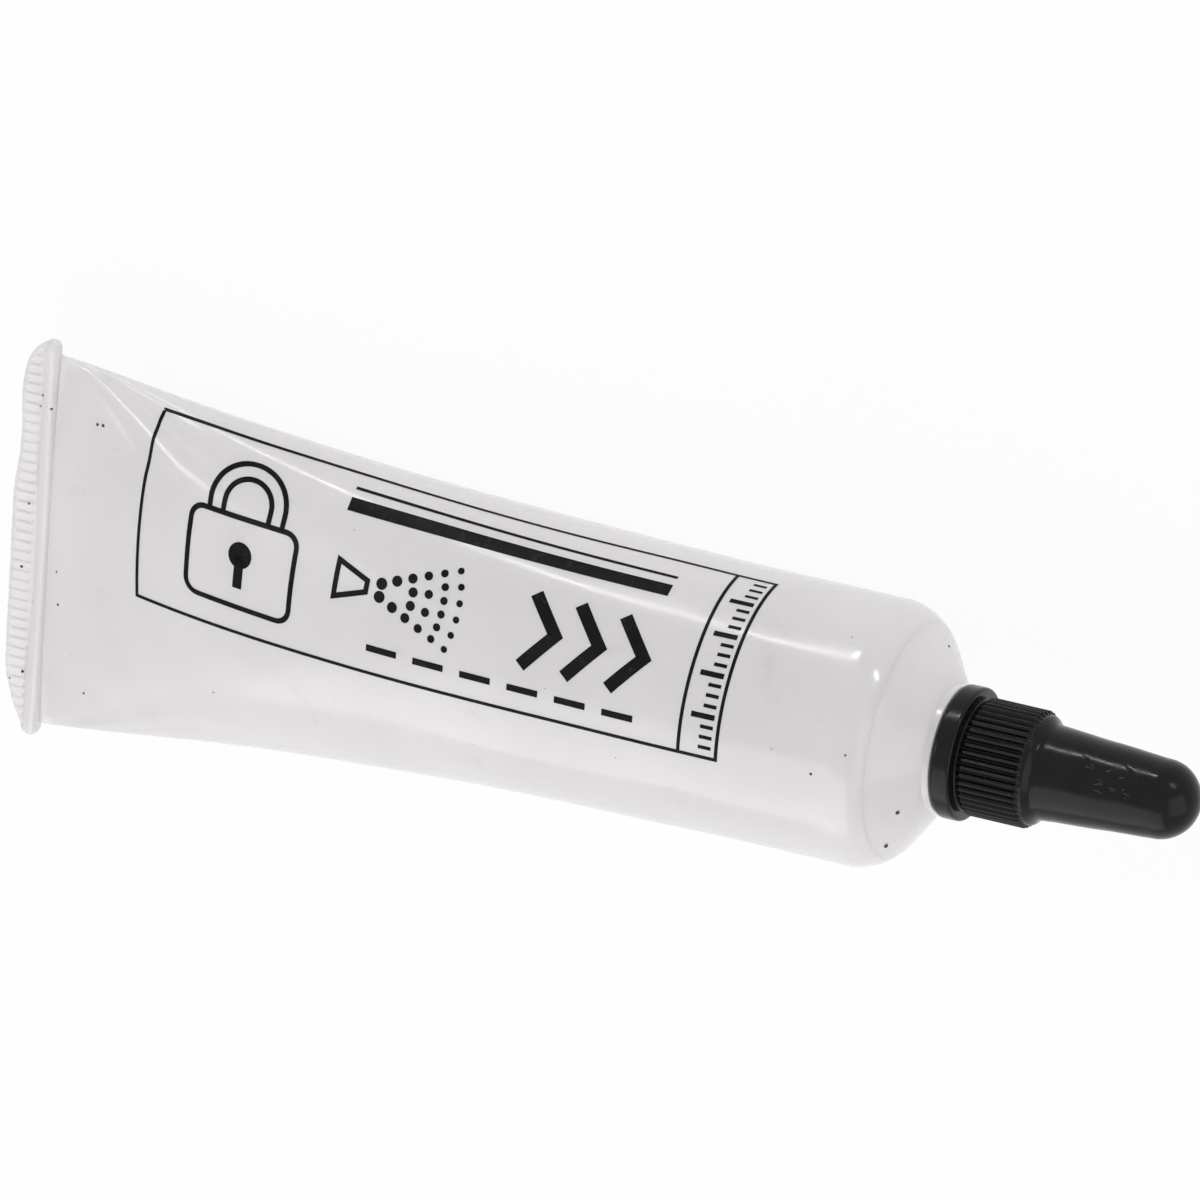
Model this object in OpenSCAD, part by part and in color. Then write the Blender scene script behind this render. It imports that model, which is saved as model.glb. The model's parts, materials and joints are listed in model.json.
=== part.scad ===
// Graphite puffer tube: a soft white sleeve crimped flat at one end, a welded
// shoulder with a threaded neck and a tapered nozzle, a black ribbed screw cap
// with a sealing plug, and the bed of graphite powder inside.
// The tube lies as it rests on a table: +X runs to the nozzle, +Z is up, and
// the origin is under the middle of the object. Lengths are in millimetres.

/* [Sleeve] */
// Outside diameter of the round part of the sleeve
tube_diameter = 19; // [17:0.5:21]
// Thickness of the sleeve wall
sleeve_wall = 0.55; // [0.45:0.05:0.65]
// Length over which the round sleeve flattens into the crimp
flare_length = 55.7; // [48:0.1:62]
// Length of the truly round barrel next to the shoulder
barrel_length = 8; // [7:0.5:12]
// How fast the sleeve fills out from the crimp: higher is fuller
fullness = 3; // [2.6:0.1:3.4]
// Share of the flare where the pressed belly begins, on which the lying tube rests
rest_from_share = 0.62; // [0.6:0.005:0.64]
// Share of the flare where the pressed belly ends
rest_to_share = 0.77; // [0.75:0.005:0.79]

/* [Crimp] */
// Width of the heat-sealed bead along the tube
bead_width = 0.9; // [0.8:0.05:1.2]
// Height of the bead through the crimp
bead_height = 1.5; // [1.3:0.05:1.8]
// How far each end of the bead stands past the flattened sleeve
bead_overhang = 0.9; // [0.6:0.1:1.2]
// Length of the serrated flange behind the bead
flange_length = 2.4; // [1.8:0.1:2.6]
// Mean thickness of the serrated flange
flange_thickness = 0.76; // [0.66:0.02:0.86]
// Depth of the serrations on each face of the flange
serration_depth = 0.14; // [0.1:0.01:0.16]
// Number of serrations across the flange
serration_count = 40; // [32:1:48]
// How far the outer edge of the flange waves in and out
edge_wave = 0.13; // [0.08:0.01:0.16]
// Number of waves along the outer edge of the flange
edge_waves = 9; // [6:1:12]
// How far the cut corner of the flange runs along the crimp
corner_run = 3.4; // [2.6:0.1:4]
// Angle by which the crimp is sealed out of square with the tube
crimp_skew = 2.5; // [0:0.1:3]

/* [Shoulder and nozzle] */
// Radius of the rounded edge of the shoulder
shoulder_round = 3.8; // [3.4:0.1:4.2]
// Angle of the conical shoulder from the tube's axis
shoulder_angle = 55; // [50:1:60]
// Angle on the rounding at which the sleeve's lip meets the moulded head
seam_angle = 45; // [36:1:48]
// Thickness of the head's skirt inside the sleeve
skirt_wall = 0.6; // [0.5:0.05:0.7]
// Length of the head's skirt inside the sleeve
skirt_length = 3; // [2:0.5:4]
// Diameter of the collar under the cap
collar_diameter = 9.2; // [8.8:0.1:9.4]
// Height of the collar's straight side
collar_height = 0.5; // [0.4:0.05:0.8]
// Diameter of the neck between its threads
neck_diameter = 5.5; // [5.4:0.1:5.6]
// Length of the threaded neck above the collar
neck_length = 6.25; // [6:0.05:6.4]
// Diameter of the nozzle where it leaves the neck
nozzle_base_diameter = 4.3; // [4:0.1:4.5]
// Diameter of the nozzle at its tip
nozzle_tip_diameter = 2.1; // [1.9:0.1:2.3]
// Length of the nozzle above the neck
nozzle_length = 10; // [9.7:0.1:10.3]
// Diameter of the hole that the powder is puffed through
orifice_diameter = 1; // [0.8:0.1:1.2]
// Diameter of the bore through the neck
neck_bore_diameter = 3.2; // [2.8:0.1:3.4]

/* [Thread] */
// Distance that one turn moves the cap
thread_lead = 3; // [2.8:0.1:3.2]
// Height of each thread ridge
thread_height = 0.45; // [0.4:0.05:0.5]
// Gap between a thread's crest and the facing wall
thread_gap = 0.15; // [0.12:0.01:0.18]

/* [Cap] */
// Thickness of the cap's closed tip beyond the seal plug
cap_tip_wall = 1.05; // [0.9:0.05:1.4]
// Diameter of the plain band at the cap's base
band_diameter = 9.5; // [9.3:0.1:9.8]
// Length of the plain band
band_length = 1.4; // [1.2:0.1:1.6]
// Diameter over the ribs
rib_diameter = 8.44; // [8.36:0.02:8.7]
// Depth of the ribs
rib_depth = 0.26; // [0.2:0.02:0.3]
// Number of ribs round the cap
rib_count = 46; // [36:1:50]
// Diameter of the cap's cone where it leaves the ribbed part
cone_base_diameter = 6.72; // [6.6:0.02:6.9]
// Diameter of the cap's rounded tip
cone_tip_diameter = 5.7; // [5.4:0.02:5.8]
// Wall of the cap's cone
cone_wall = 0.8; // [0.7:0.05:0.9]

/* [Powder] */
// Height of the powder's level face above the tube's axis at the middle of the bed
powder_level = -1.2; // [-3:0.1:1]
// Gap between the powder and the walls
powder_gap = 0.15; // [0.1:0.01:0.2]

/* [Hidden] */

// Facets of the exact round parts and of the sleeve's flattened part
round_sides = 96;
flare_sides = 48;
cut_overrun = 1;

// The sleeve: the flattened part ends inside the barrel's wall
tube_radius = tube_diameter / 2;
weld_tuck = sleeve_wall / 18;
flare_radius = tube_radius - weld_tuck;
flare_wall = sleeve_wall - 2 * weld_tuck;
flare_lap = 2 * sleeve_wall;
bore_radius = tube_radius - sleeve_wall;
barrel_end = flare_length + barrel_length;
flat_gain = 1 / cos(180 / flare_sides);
// Power that keeps the girth of the flattened tube constant
girth_power = 1.7;
// Shares of the flare at which its rings stand, and the ring where the cavity starts
ring_shares = [
    0, 0.02, 0.05, 0.085, 0.125, 0.17, 0.225, 0.29, 0.37, 0.46, 0.54,
    rest_from_share, rest_to_share, 0.88, 1
];
first_cavity_ring = 1;

// The crimp
crimp_half = half_width(flare_wall) + bead_overhang;
tooth_pitch = 2 * crimp_half / serration_count;
corner_rise = 0.82 * flange_length;
edge_half = crimp_half - corner_run;
// The sleeve follows the skew of the crimp as far as this
skew_fade = 0.3 * flare_length;
bead_sides = 20;
edge_steps = 54;

// The shoulder: a rounding, then a cone down to the collar
round_centre = tube_radius - shoulder_round;
lip_round = shoulder_round - sleeve_wall;
inner_round = lip_round - skirt_wall;
arc_steps = 8;
collar_radius = collar_diameter / 2;
cone_start_x = barrel_end + shoulder_round * sin(shoulder_angle);
cone_start_r = round_centre + shoulder_round * cos(shoulder_angle);
collar_base = cone_start_x + (cone_start_r - collar_radius) / tan(shoulder_angle);
collar_top = collar_base + collar_height;
neck_bore = neck_bore_diameter / 2;
funnel_x = barrel_end + inner_round * sin(shoulder_angle);
funnel_r = round_centre + inner_round * cos(shoulder_angle);
funnel_end = funnel_x + (funnel_r - neck_bore) / tan(shoulder_angle);
neck_radius = neck_diameter / 2;
neck_top = collar_top + neck_length;
neck_chamfer = 0.4 * thread_height;
nozzle_base = nozzle_base_diameter / 2;
nozzle_tip = nozzle_tip_diameter / 2;
orifice = orifice_diameter / 2;
nozzle_end = neck_top + nozzle_length;
funnel_tip = nozzle_end - 2.4 * orifice_diameter;

// The cap
seat_gap = thread_gap;
cap_base = collar_top + seat_gap;
band_radius = band_diameter / 2;
band_chamfer = band_length / 9;
groove_length = band_length / 4;
rib_radius = rib_diameter / 2;
rib_root = rib_radius - rib_depth;
rib_start = cap_base + band_length + groove_length;
rib_end = neck_top + 0.3 * cone_wall;
ledge_end = rib_end + 1.2 * cone_wall;
cone_base = cone_base_diameter / 2;
tip_radius = cone_tip_diameter / 2;
// The rounded tip ends in the small flat left by the moulding gate
tip_flat_angle = 84;
tip_flat = tip_radius * cos(tip_flat_angle);
cap_bore = neck_radius + thread_height + thread_gap;
cap_bore_end = neck_top + 4 * seat_gap;
cone_bore_base = cone_base - cone_wall;
plug_seat_start = nozzle_end + seat_gap;
cone_bore_end = tip_radius - cone_wall;

// The plug that seals the nozzle: a disc held in the cap's tip and a stem in the hole
plug_play = thread_gap / 3;
plug_radius = 0.84 * cone_bore_end;
plug_seat = plug_radius + plug_play;
plug_thickness = 0.32 * tip_radius;
plug_base = plug_seat_start + plug_play;
plug_top = plug_base + plug_thickness;
plug_seat_end = plug_top + plug_play;
cap_end = plug_seat_end + cap_tip_wall;
stem_radius = orifice - plug_play;
stem_length = 1.7 * orifice_diameter;

// The two-start thread: ridges on the neck and, between them, ridges in the cap
thread_starts = 2;
thread_step = 15;
ridge_root = 0.13 * thread_lead;
ridge_crest = 0.06 * thread_lead;
ridge_embed = thread_height / 3;
neck_thread_start = collar_top + 0.42 * thread_lead;
neck_thread_turns = 1.375;
cap_thread_start = cap_base + 0.45 * thread_lead;
cap_thread_turns = 1.25;
run_out_steps = 5;
// Angle that sets the cap's ridges midway between the neck's
mesh_angle = 360 * (cap_thread_start - neck_thread_start) / thread_lead + 360 / (2 * thread_starts);

// The powder bed follows the cavity and is cut level
bed_shares = [
    0.05, 0.085, 0.125, 0.17, 0.225, 0.29, 0.37, 0.46, 0.54,
    rest_from_share, rest_to_share, 0.88, 1
];
bed_radius = bore_radius - powder_gap;
bed_skirt_radius = bore_radius - skirt_wall - powder_gap;
bed_skirt_start = barrel_end - skirt_length - powder_gap;
bed_end = barrel_end + 0.6 * inner_round;
bed_end_radius = round_centre + 0.62 * inner_round;
bed_middle = barrel_end / 2;

// The lying pose: the pressed belly lies on the table, so its slope tips the axis up.
// The belly touches along its two sides, three facets apart, and dishes in between them
rest_angle = 1.5 * 360 / flare_sides;
belly_dish = sleeve_wall / 18;
fill_end = 1 - exp(-fullness);
rest_from = rest_from_share * flare_length;
rest_to = rest_to_share * flare_length;
rest_from_height = half_height(rest_from) * cos(rest_angle);
rest_to_height = half_height(rest_to) * cos(rest_angle);
rest_slope = (rest_to_height - rest_from_height) / (rest_to - rest_from);
lie_angle = atan(rest_slope);
rise = rest_from_height * cos(lie_angle) - rest_from * sin(lie_angle);
flange_far = max([for (i = [0 : edge_steps]) edge_reach(edge_point(i))]);
flange_half = (flange_thickness + serration_depth) / 2;
low_x = -flange_far * cos(lie_angle) - flange_half * sin(lie_angle);
high_x = cap_end * cos(lie_angle) + tip_flat * sin(lie_angle);
centre_x = (low_x + high_x) / 2;

// Half the height of the flattened sleeve at a station along it
function half_height(x) =
    flare_wall + (flare_radius - flare_wall) * (1 - exp(-fullness * x / flare_length)) / fill_end;

// Half the width that goes with a half height, at constant girth
function half_width(h) =
    flare_radius * (1 + (PI / 2 - 1) * (1 - pow(min(1, h / flare_radius), girth_power)));

// How far a point of the sleeve moves along the tube where the crimp is out of square
function skew_shift(x, y) = x < skew_fade ? y * tan(crimp_skew) * (1 - x / skew_fade) : 0;

// A point of the flange's waving outer edge
function edge_point(i) = [
    -flange_length - edge_wave * sin(360 * edge_waves * i / edge_steps),
    edge_half - 2 * edge_half * i / edge_steps
];

// How far back from the crimp's middle such a point comes once the crimp is turned
function edge_reach(p) = -p[0] * cos(crimp_skew) - p[1] * sin(crimp_skew);

// Height of the tube's axis above the table at a station, measured across the axis
function table_height(x) = rest_from_height + (x - rest_from) * rest_slope;

// Height on a ring, held up by the dished belly when it lies under the middle
function pressed(x, a, z, inset) =
    abs(a - 180) < rest_angle ? max(z, belly_dish + inset - table_height(x)) : z;

// One ring of the sleeve with its half axes, flat side down
function ring(x, half_w, half_h, inset = 0) = [
    for (i = [0 : flare_sides - 1])
        let (a = (i + 0.5) * 360 / flare_sides)
            [
                x + skew_shift(x, half_w * sin(a)),
                half_w * sin(a),
                pressed(x, a, half_h * cos(a), inset)
            ]
];

// Ring of the sleeve's outside at a share of the flare
function outer_ring(share) =
    let (x = share * flare_length, h = half_height(x))
        ring(x, half_width(h), h);

// Ring inside the sleeve, set in from the outside by a wall and widened to clear its facets
function inner_ring(share, wall, gain) =
    let (x = share * flare_length, h = half_height(x))
        ring(x, (half_width(h) - wall) * gain, (h - wall) * gain, wall);

// Faces of the skin between one ring of a stack and the next, seen from outside
function skin(first, second) = [
    for (i = [0 : flare_sides - 1])
        let (n = (i + 1) % flare_sides)
            each [
                [first + i, first + n, second + i],
                [first + n, second + n, second + i]
            ]
];

// The same faces seen from inside
function inner_skin(first, second) = [for (f = skin(first, second)) [f[0], f[2], f[1]]];

// All points of a list of rings in one list
function join_rings(rings) = [for (r = rings) each r];

// Points of a quarter rounding of the shoulder as radius and station
function arc_points(radius, from, to) = [
    for (i = [0 : arc_steps])
        let (a = from + (to - from) * i / arc_steps)
            [round_centre + radius * cos(a), barrel_end + radius * sin(a)]
];

// Turns a shape made along Z onto the tube's axis
module along_axis() {
    rotate([0, 90, 0]) children();
}

// A body of revolution round the tube's axis from radius and station points
module revolve(points) {
    along_axis() rotate_extrude($fn = round_sides) polygon(points);
}

// Lays a shape made on the tube's own axis down on the table
module lay() {
    translate([-centre_x, 0, rise]) rotate([0, -lie_angle, 0]) children();
}

// The flattened part of the sleeve with its closed cavity
module flare() {
    rings_out = [for (s = ring_shares) outer_ring(s)];
    lap_out = ring(flare_length + flare_lap, flare_radius, flare_radius);
    count = len(ring_shares);
    inner_radius = (flare_radius - flare_wall) * flat_gain;
    rings_in = [for (j = [first_cavity_ring : count - 1]) inner_ring(ring_shares[j], flare_wall, flat_gain)];
    lap_in = ring(flare_length + flare_lap, inner_radius, inner_radius);
    outside = join_rings(concat(rings_out, [lap_out]));
    inside = join_rings(concat(rings_in, [lap_in]));
    base = len(outside);
    inner_count = len(rings_in);
    end_out = count * flare_sides;
    end_in = base + inner_count * flare_sides;
    faces_out = [for (j = [0 : count - 1]) each skin(j * flare_sides, (j + 1) * flare_sides)];
    faces_in = [
        for (j = [0 : inner_count - 1])
            each inner_skin(base + j * flare_sides, base + (j + 1) * flare_sides)
    ];
    start_cap = [[for (i = [0 : flare_sides - 1]) flare_sides - 1 - i]];
    cavity_cap = [[for (i = [0 : flare_sides - 1]) base + i]];
    rim = skin(end_out, end_in);
    polyhedron(concat(outside, inside), concat(faces_out, faces_in, start_cap, cavity_cap, rim));
}

// The round barrel and the lip that curls over the head
module barrel() {
    revolve(concat(
        [[bore_radius, flare_length], [tube_radius, flare_length]],
        arc_points(shoulder_round, 0, seam_angle),
        [for (i = [0 : arc_steps]) arc_points(lip_round, 0, seam_angle)[arc_steps - i]]
    ));
}

// The smooth bead across the crimp
module bead() {
    points = [
        for (i = [0 : bead_sides - 1])
            let (a = (i + 0.5) * 360 / bead_sides)
                [bead_width / 2 * cos(a), bead_height / 2 * sin(a)]
    ];
    rotate([90, 0, 0])
        linear_extrude(height = 2 * crimp_half, center = true) polygon(points);
}

// The serrated flange: teeth run along the tube, the outer edge waves, the corners are cut
module flange() {
    half = flange_thickness / 2;
    top = [
        for (i = [0 : 2 * serration_count])
            [i * tooth_pitch / 2 - crimp_half, half + serration_depth * (i % 2 - 0.5)]
    ];
    count = len(top);
    bottom = [for (i = [0 : count - 1]) [top[count - 1 - i][0], -top[count - 1 - i][1]]];
    outline = concat(
        [[0, -crimp_half], [0, crimp_half], [-flange_length + corner_rise, crimp_half]],
        [for (i = [0 : edge_steps]) edge_point(i)],
        [[-flange_length + corner_rise, -crimp_half]]
    );
    intersection() {
        translate([-2 * flange_length, 0, 0])
            rotate([90, 0, 90])
                linear_extrude(height = 2 * flange_length) polygon(concat(top, bottom));
        linear_extrude(height = 2 * flange_thickness, center = true) polygon(outline);
    }
}

// One helical ridge as a swept trapezoid that runs out at both ends
module ridge(start, turns, root_r, crest_r, first_angle) {
    steps = turns * 360 / thread_step;
    points = [
        for (j = [0 : steps])
            let (a = first_angle + j * thread_step)
                let (x = start + thread_lead * j * thread_step / 360)
                    let (f = min(1, j / run_out_steps, (steps - j) / run_out_steps))
                        let (r = root_r + (crest_r - root_r) * max(0.1, f))
                            each [
                                [x - ridge_root, root_r * sin(a), -root_r * cos(a)],
                                [x - ridge_crest, r * sin(a), -r * cos(a)],
                                [x + ridge_crest, r * sin(a), -r * cos(a)],
                                [x + ridge_root, root_r * sin(a), -root_r * cos(a)]
                            ]
    ];
    side = [
        for (j = [0 : steps - 1])
            for (k = [0 : 3])
                let (p = 4 * j + k)
                    let (q = 4 * j + (k + 1) % 4)
                        each [[p, q, p + 4], [q, q + 4, p + 4]]
    ];
    inward = crest_r < root_r;
    first_cap = [[3, 2, 1, 0]];
    last_cap = [[4 * steps, 4 * steps + 1, 4 * steps + 2, 4 * steps + 3]];
    faces = concat(side, first_cap, last_cap);
    polyhedron(points, inward ? [for (f = faces) [for (i = [1 : len(f)]) f[len(f) - i]]] : faces);
}

// The sleeve with its crimp
module tube_sleeve() {
    color([0.93, 0.93, 0.92])
        lay() {
            flare();
            barrel();
            rotate([0, 0, -crimp_skew]) {
                bead();
                flange();
            }
        }
}

// The moulded head: skirt, shoulder, collar, threaded neck and tapered nozzle
module nozzle_head() {
    skirt_inside = bore_radius - skirt_wall;
    skirt_start = barrel_end - skirt_length;
    color([0.95, 0.95, 0.94])
        lay() {
            revolve(concat(
                [[skirt_inside, skirt_start], [bore_radius, skirt_start]],
                arc_points(lip_round, 0, seam_angle),
                arc_points(shoulder_round, seam_angle, shoulder_angle),
                [
                    [collar_radius, collar_base],
                    [collar_radius, collar_top],
                    [neck_radius, collar_top],
                    [neck_radius, neck_top - neck_chamfer],
                    [neck_radius - neck_chamfer, neck_top],
                    [nozzle_base, neck_top],
                    [nozzle_tip, nozzle_end],
                    [orifice, nozzle_end],
                    [orifice, funnel_tip],
                    [neck_bore, neck_top],
                    [neck_bore, funnel_end]
                ],
                [for (i = [0 : arc_steps]) arc_points(inner_round, 0, shoulder_angle)[arc_steps - i]]
            ));
            for (s = [0 : thread_starts - 1])
                ridge(
                    neck_thread_start,
                    neck_thread_turns,
                    neck_radius - ridge_embed,
                    neck_radius + thread_height,
                    s * 360 / thread_starts
                );
        }
}

// The bed of powder, level as the tube lies
module graphite_powder() {
    first_rings = [for (s = bed_shares) inner_ring(s, flare_wall + powder_gap, 1)];
    last_rings = [
        ring(bed_skirt_start, bed_radius, bed_radius),
        ring(bed_skirt_start + powder_gap / 2, bed_skirt_radius, bed_skirt_radius),
        ring(barrel_end, bed_skirt_radius, bed_skirt_radius),
        ring(bed_end, bed_end_radius, bed_end_radius)
    ];
    rings = concat(first_rings, last_rings);
    count = len(rings);
    skins = [for (j = [0 : count - 2]) each skin(j * flare_sides, (j + 1) * flare_sides)];
    start_cap = [[for (i = [0 : flare_sides - 1]) flare_sides - 1 - i]];
    end_cap = [[for (i = [0 : flare_sides - 1]) (count - 1) * flare_sides + i]];
    bed_height = rise + powder_level + bed_middle * sin(lie_angle);
    color([0.2, 0.2, 0.21])
        intersection() {
            lay() polyhedron(join_rings(rings), concat(skins, start_cap, end_cap));
            translate([-barrel_end, -tube_diameter, 0])
                cube([2 * barrel_end, 2 * tube_diameter, bed_height]);
        }
}

// The plug that closes the nozzle's hole while the cap is on
module seal_plug() {
    color([0.85, 0.85, 0.84])
        lay()
            revolve([
                [0, plug_base - stem_length],
                [stem_radius / 2, plug_base - stem_length],
                [stem_radius, plug_base - stem_length + stem_radius],
                [stem_radius, plug_base],
                [plug_radius, plug_base],
                [plug_radius, plug_top],
                [0, plug_top]
            ]);
}

// The straight ribs round the cap
module cap_ribs() {
    star = [
        for (i = [0 : 2 * rib_count - 1])
            let (r = i % 2 == 0 ? rib_radius : rib_root)
                [r * cos(i * 180 / rib_count), r * sin(i * 180 / rib_count)]
    ];
    along_axis()
        translate([0, 0, rib_start])
            difference() {
                linear_extrude(height = rib_end - rib_start) polygon(star);
                translate([0, 0, -cut_overrun])
                    cylinder(h = rib_end - rib_start + 2 * cut_overrun, r = rib_root - rib_depth, $fn = round_sides);
            }
}

// The screw cap: band, groove, ribs, ledge, cone with a rounded tip, and its hollow
module screw_cap() {
    tip_centre = cap_end - tip_radius * sin(tip_flat_angle);
    tip_arc = [
        for (i = [0 : arc_steps])
            let (a = tip_flat_angle * i / arc_steps)
                [tip_radius * cos(a), tip_centre + tip_radius * sin(a)]
    ];
    shell_root = rib_root - rib_depth / 4;
    color([0.06, 0.06, 0.065])
        lay() {
            revolve(concat(
                [
                    [cap_bore, cap_base],
                    [band_radius - band_chamfer, cap_base],
                    [band_radius, cap_base + band_chamfer],
                    [band_radius, cap_base + band_length - band_chamfer],
                    [band_radius - band_chamfer, cap_base + band_length],
                    [shell_root, cap_base + band_length],
                    [shell_root, rib_end + groove_length / 2],
                    [cone_base, ledge_end]
                ],
                tip_arc,
                [
                    [0, cap_end],
                    [0, plug_seat_end],
                    [plug_seat, plug_seat_end],
                    [plug_seat, plug_seat_start],
                    [cone_bore_end, plug_seat_start],
                    [cone_bore_base, cap_bore_end],
                    [cap_bore, cap_bore_end]
                ]
            ));
            cap_ribs();
            for (s = [0 : thread_starts - 1])
                ridge(
                    cap_thread_start,
                    cap_thread_turns,
                    cap_bore + ridge_embed,
                    cap_bore - thread_height,
                    mesh_angle + s * 360 / thread_starts
                );
        }
}

tube_sleeve();
nozzle_head();
graphite_powder();
seal_plug();
screw_cap();
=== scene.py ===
"""Looks of a graphite puffer tube: crimped white sleeve, moulded head, ribbed black cap, powder and print.

Every length is in metres. Shapes are worked out on the tube's own axis, from the middle of the crimp
toward the nozzle, and lay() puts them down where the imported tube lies.
"""
import json
import math

import bmesh
import bpy
import numpy as np
from bpy.props import FloatProperty, FloatVectorProperty, IntProperty, PointerProperty
from mathutils import Matrix, Vector


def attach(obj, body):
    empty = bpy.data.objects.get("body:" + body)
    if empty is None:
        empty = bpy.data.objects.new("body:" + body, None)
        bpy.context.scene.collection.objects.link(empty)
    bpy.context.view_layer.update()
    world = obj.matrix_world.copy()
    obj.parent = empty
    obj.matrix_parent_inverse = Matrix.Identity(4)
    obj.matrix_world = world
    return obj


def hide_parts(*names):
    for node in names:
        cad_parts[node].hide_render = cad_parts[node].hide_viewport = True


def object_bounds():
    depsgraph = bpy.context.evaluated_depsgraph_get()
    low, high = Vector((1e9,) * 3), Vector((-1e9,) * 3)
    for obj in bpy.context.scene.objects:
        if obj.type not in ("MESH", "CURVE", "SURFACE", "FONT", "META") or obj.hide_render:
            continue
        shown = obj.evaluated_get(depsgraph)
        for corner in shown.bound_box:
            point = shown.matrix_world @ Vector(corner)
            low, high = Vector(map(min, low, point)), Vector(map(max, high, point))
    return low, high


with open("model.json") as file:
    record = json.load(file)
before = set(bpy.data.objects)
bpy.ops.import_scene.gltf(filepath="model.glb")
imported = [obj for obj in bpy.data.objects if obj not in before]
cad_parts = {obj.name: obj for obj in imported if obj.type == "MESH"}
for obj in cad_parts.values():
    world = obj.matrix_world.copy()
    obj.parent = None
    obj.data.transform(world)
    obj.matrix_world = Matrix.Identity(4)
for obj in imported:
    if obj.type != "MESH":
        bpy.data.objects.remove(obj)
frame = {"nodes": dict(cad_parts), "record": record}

bl_info = {
    "name": "Graphite Puffer Tube",
    "version": (1, 0, 0),
    "blender": (4, 5, 0),
    "location": "View3D > Sidebar > Puffer Tube",
    "description": "Builds the looks of a crimped puffer tube with a ribbed screw cap",
    "category": "Object",
}

CAD_BOX = [list(corner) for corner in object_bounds()]

# The tube's own frame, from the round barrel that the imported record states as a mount
BARREL = frame["record"]["mounts"][0]
TUBE_RADIUS = BARREL["dims"]["r_mm"] / 1000
BARREL_LENGTH = BARREL["dims"]["length_mm"] / 1000
FLARE_LENGTH = 0.0557
BARREL_END = FLARE_LENGTH + BARREL_LENGTH
ALONG = np.array(BARREL["axis"], float)
ALONG /= np.linalg.norm(ALONG)
ACROSS = np.array([0.0, 1.0, 0.0])
UPWARD = np.cross(ALONG, ACROSS)
CRIMP_MIDDLE = np.array(BARREL["pos_m"], float) - (FLARE_LENGTH + BARREL_LENGTH / 2) * ALONG

# The sleeve
SLEEVE_WALL = 0.00055
FLARE_RADIUS = TUBE_RADIUS - SLEEVE_WALL / 18
CRIMP_HALF_HEIGHT = SLEEVE_WALL * 8 / 9
FULLNESS = 3
GIRTH_POWER = 1.7
EDGE_CROWDING = 0.22
QUARTER_TURN = math.pi / 2
GIRTH = 2 * math.pi * FLARE_RADIUS
SHOULDER_ROUND = 0.0038
SHOULDER_CENTRE = TUBE_RADIUS - SHOULDER_ROUND
SEAM_ANGLE = math.radians(45)
SHOULDER_ANGLE = math.radians(55)
SEAM_RUN = BARREL_END + SHOULDER_ROUND * SEAM_ANGLE
LIP_REACH = 0.000002
# The pinch beside the bead, and the run over which the flare grows into the barrel
PINCH_DEPTH = 0.0003
PINCH_WIDTH = 0.0011
BLEND_RUN = 0.004
# The slow dents' lengths; they leave the crimp's side and the barrel's end calm
DENT_LENGTHS = (0.011, 0.03)
CALM_START = 0.002
CALM_END = 0.012
CALM_BLEND = 0.006
# Fine wrinkles beside the bead
WRINKLE_DEPTH = 0.00001
WRINKLE_START = 0.0004
WRINKLE_FULL = 0.0011
WRINKLE_FADE = 0.0012
WRINKLE_LENGTHS = (0.00031, 0.00083)
# The raised ring where the head is welded in
WELD_DEPTH = 0.000018
WELD_PLACE = 0.0006
WELD_WIDTH = 0.0003
# The length over which a crease rises, how it widens, how far it passes the sleeve's side edge, the
# share of its length that it holds, and its strength at each corner of the crimp
CREASE_FADE = 0.0012
CREASE_SPREAD = 0.012
CREASE_OVERRUN = 0.0006
CREASE_HOLD = 0.5
CORNER_STRENGTHS = (1.0, 0.8, 0.6, 0.9)
# The sleeve's first row, the gap before its last, how far its rows crowd toward the crimp, and the
# end of its cavity there
FIRST_RUN = 0.0001
LAST_GAP = 0.000004
ROW_CROWDING = 0.25
CAVITY_START = 0.0012
CAVITY_HALF_HEIGHT = 0.0004

# The crimp
BEAD_WIDTH = 0.00096
BEAD_SLOPE = 0.00085
BEAD_BOW = 0.0002
BEAD_HEIGHT = 0.0015
BEAD_END_ROUND = 0.0006
CRIMP_HALF = 0.01574
CRIMP_SKEW = math.tan(math.radians(2.5))
SKEW_FADE = 0.3 * FLARE_LENGTH
FLANGE_HALF_THICKNESS = 0.00038
TOOTH_DEPTH = 0.00005
TOOTH_COUNT = 40
EDGE_WAVE = 0.00003
FLANGE_MARGIN = 0.00005
FLANGE_START = 0.0002
FLANGE_LEAST = 0.0004
# The teeth are pressed in past this distance from the bead's middle
TEETH_START = 0.0007
TEETH_FULL = 0.00085
# The flange's cut outline, as places across the crimp and how far it stands back from the bead's middle
EDGE_PLACES = (-0.01570, -0.0148, -0.0135, -0.0116, -0.0100, -0.0020, 0.0034, 0.0049,
               0.0064, 0.0084, 0.0118, 0.0134, 0.0141, 0.01505, 0.0155, 0.01570)
EDGE_LENGTHS = (0.00045, 0.00104, 0.00169, 0.00230, 0.00244, 0.00248, 0.00252, 0.00240,
                0.00222, 0.00217, 0.00228, 0.00204, 0.00189, 0.00140, 0.00090, 0.00045)

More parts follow.
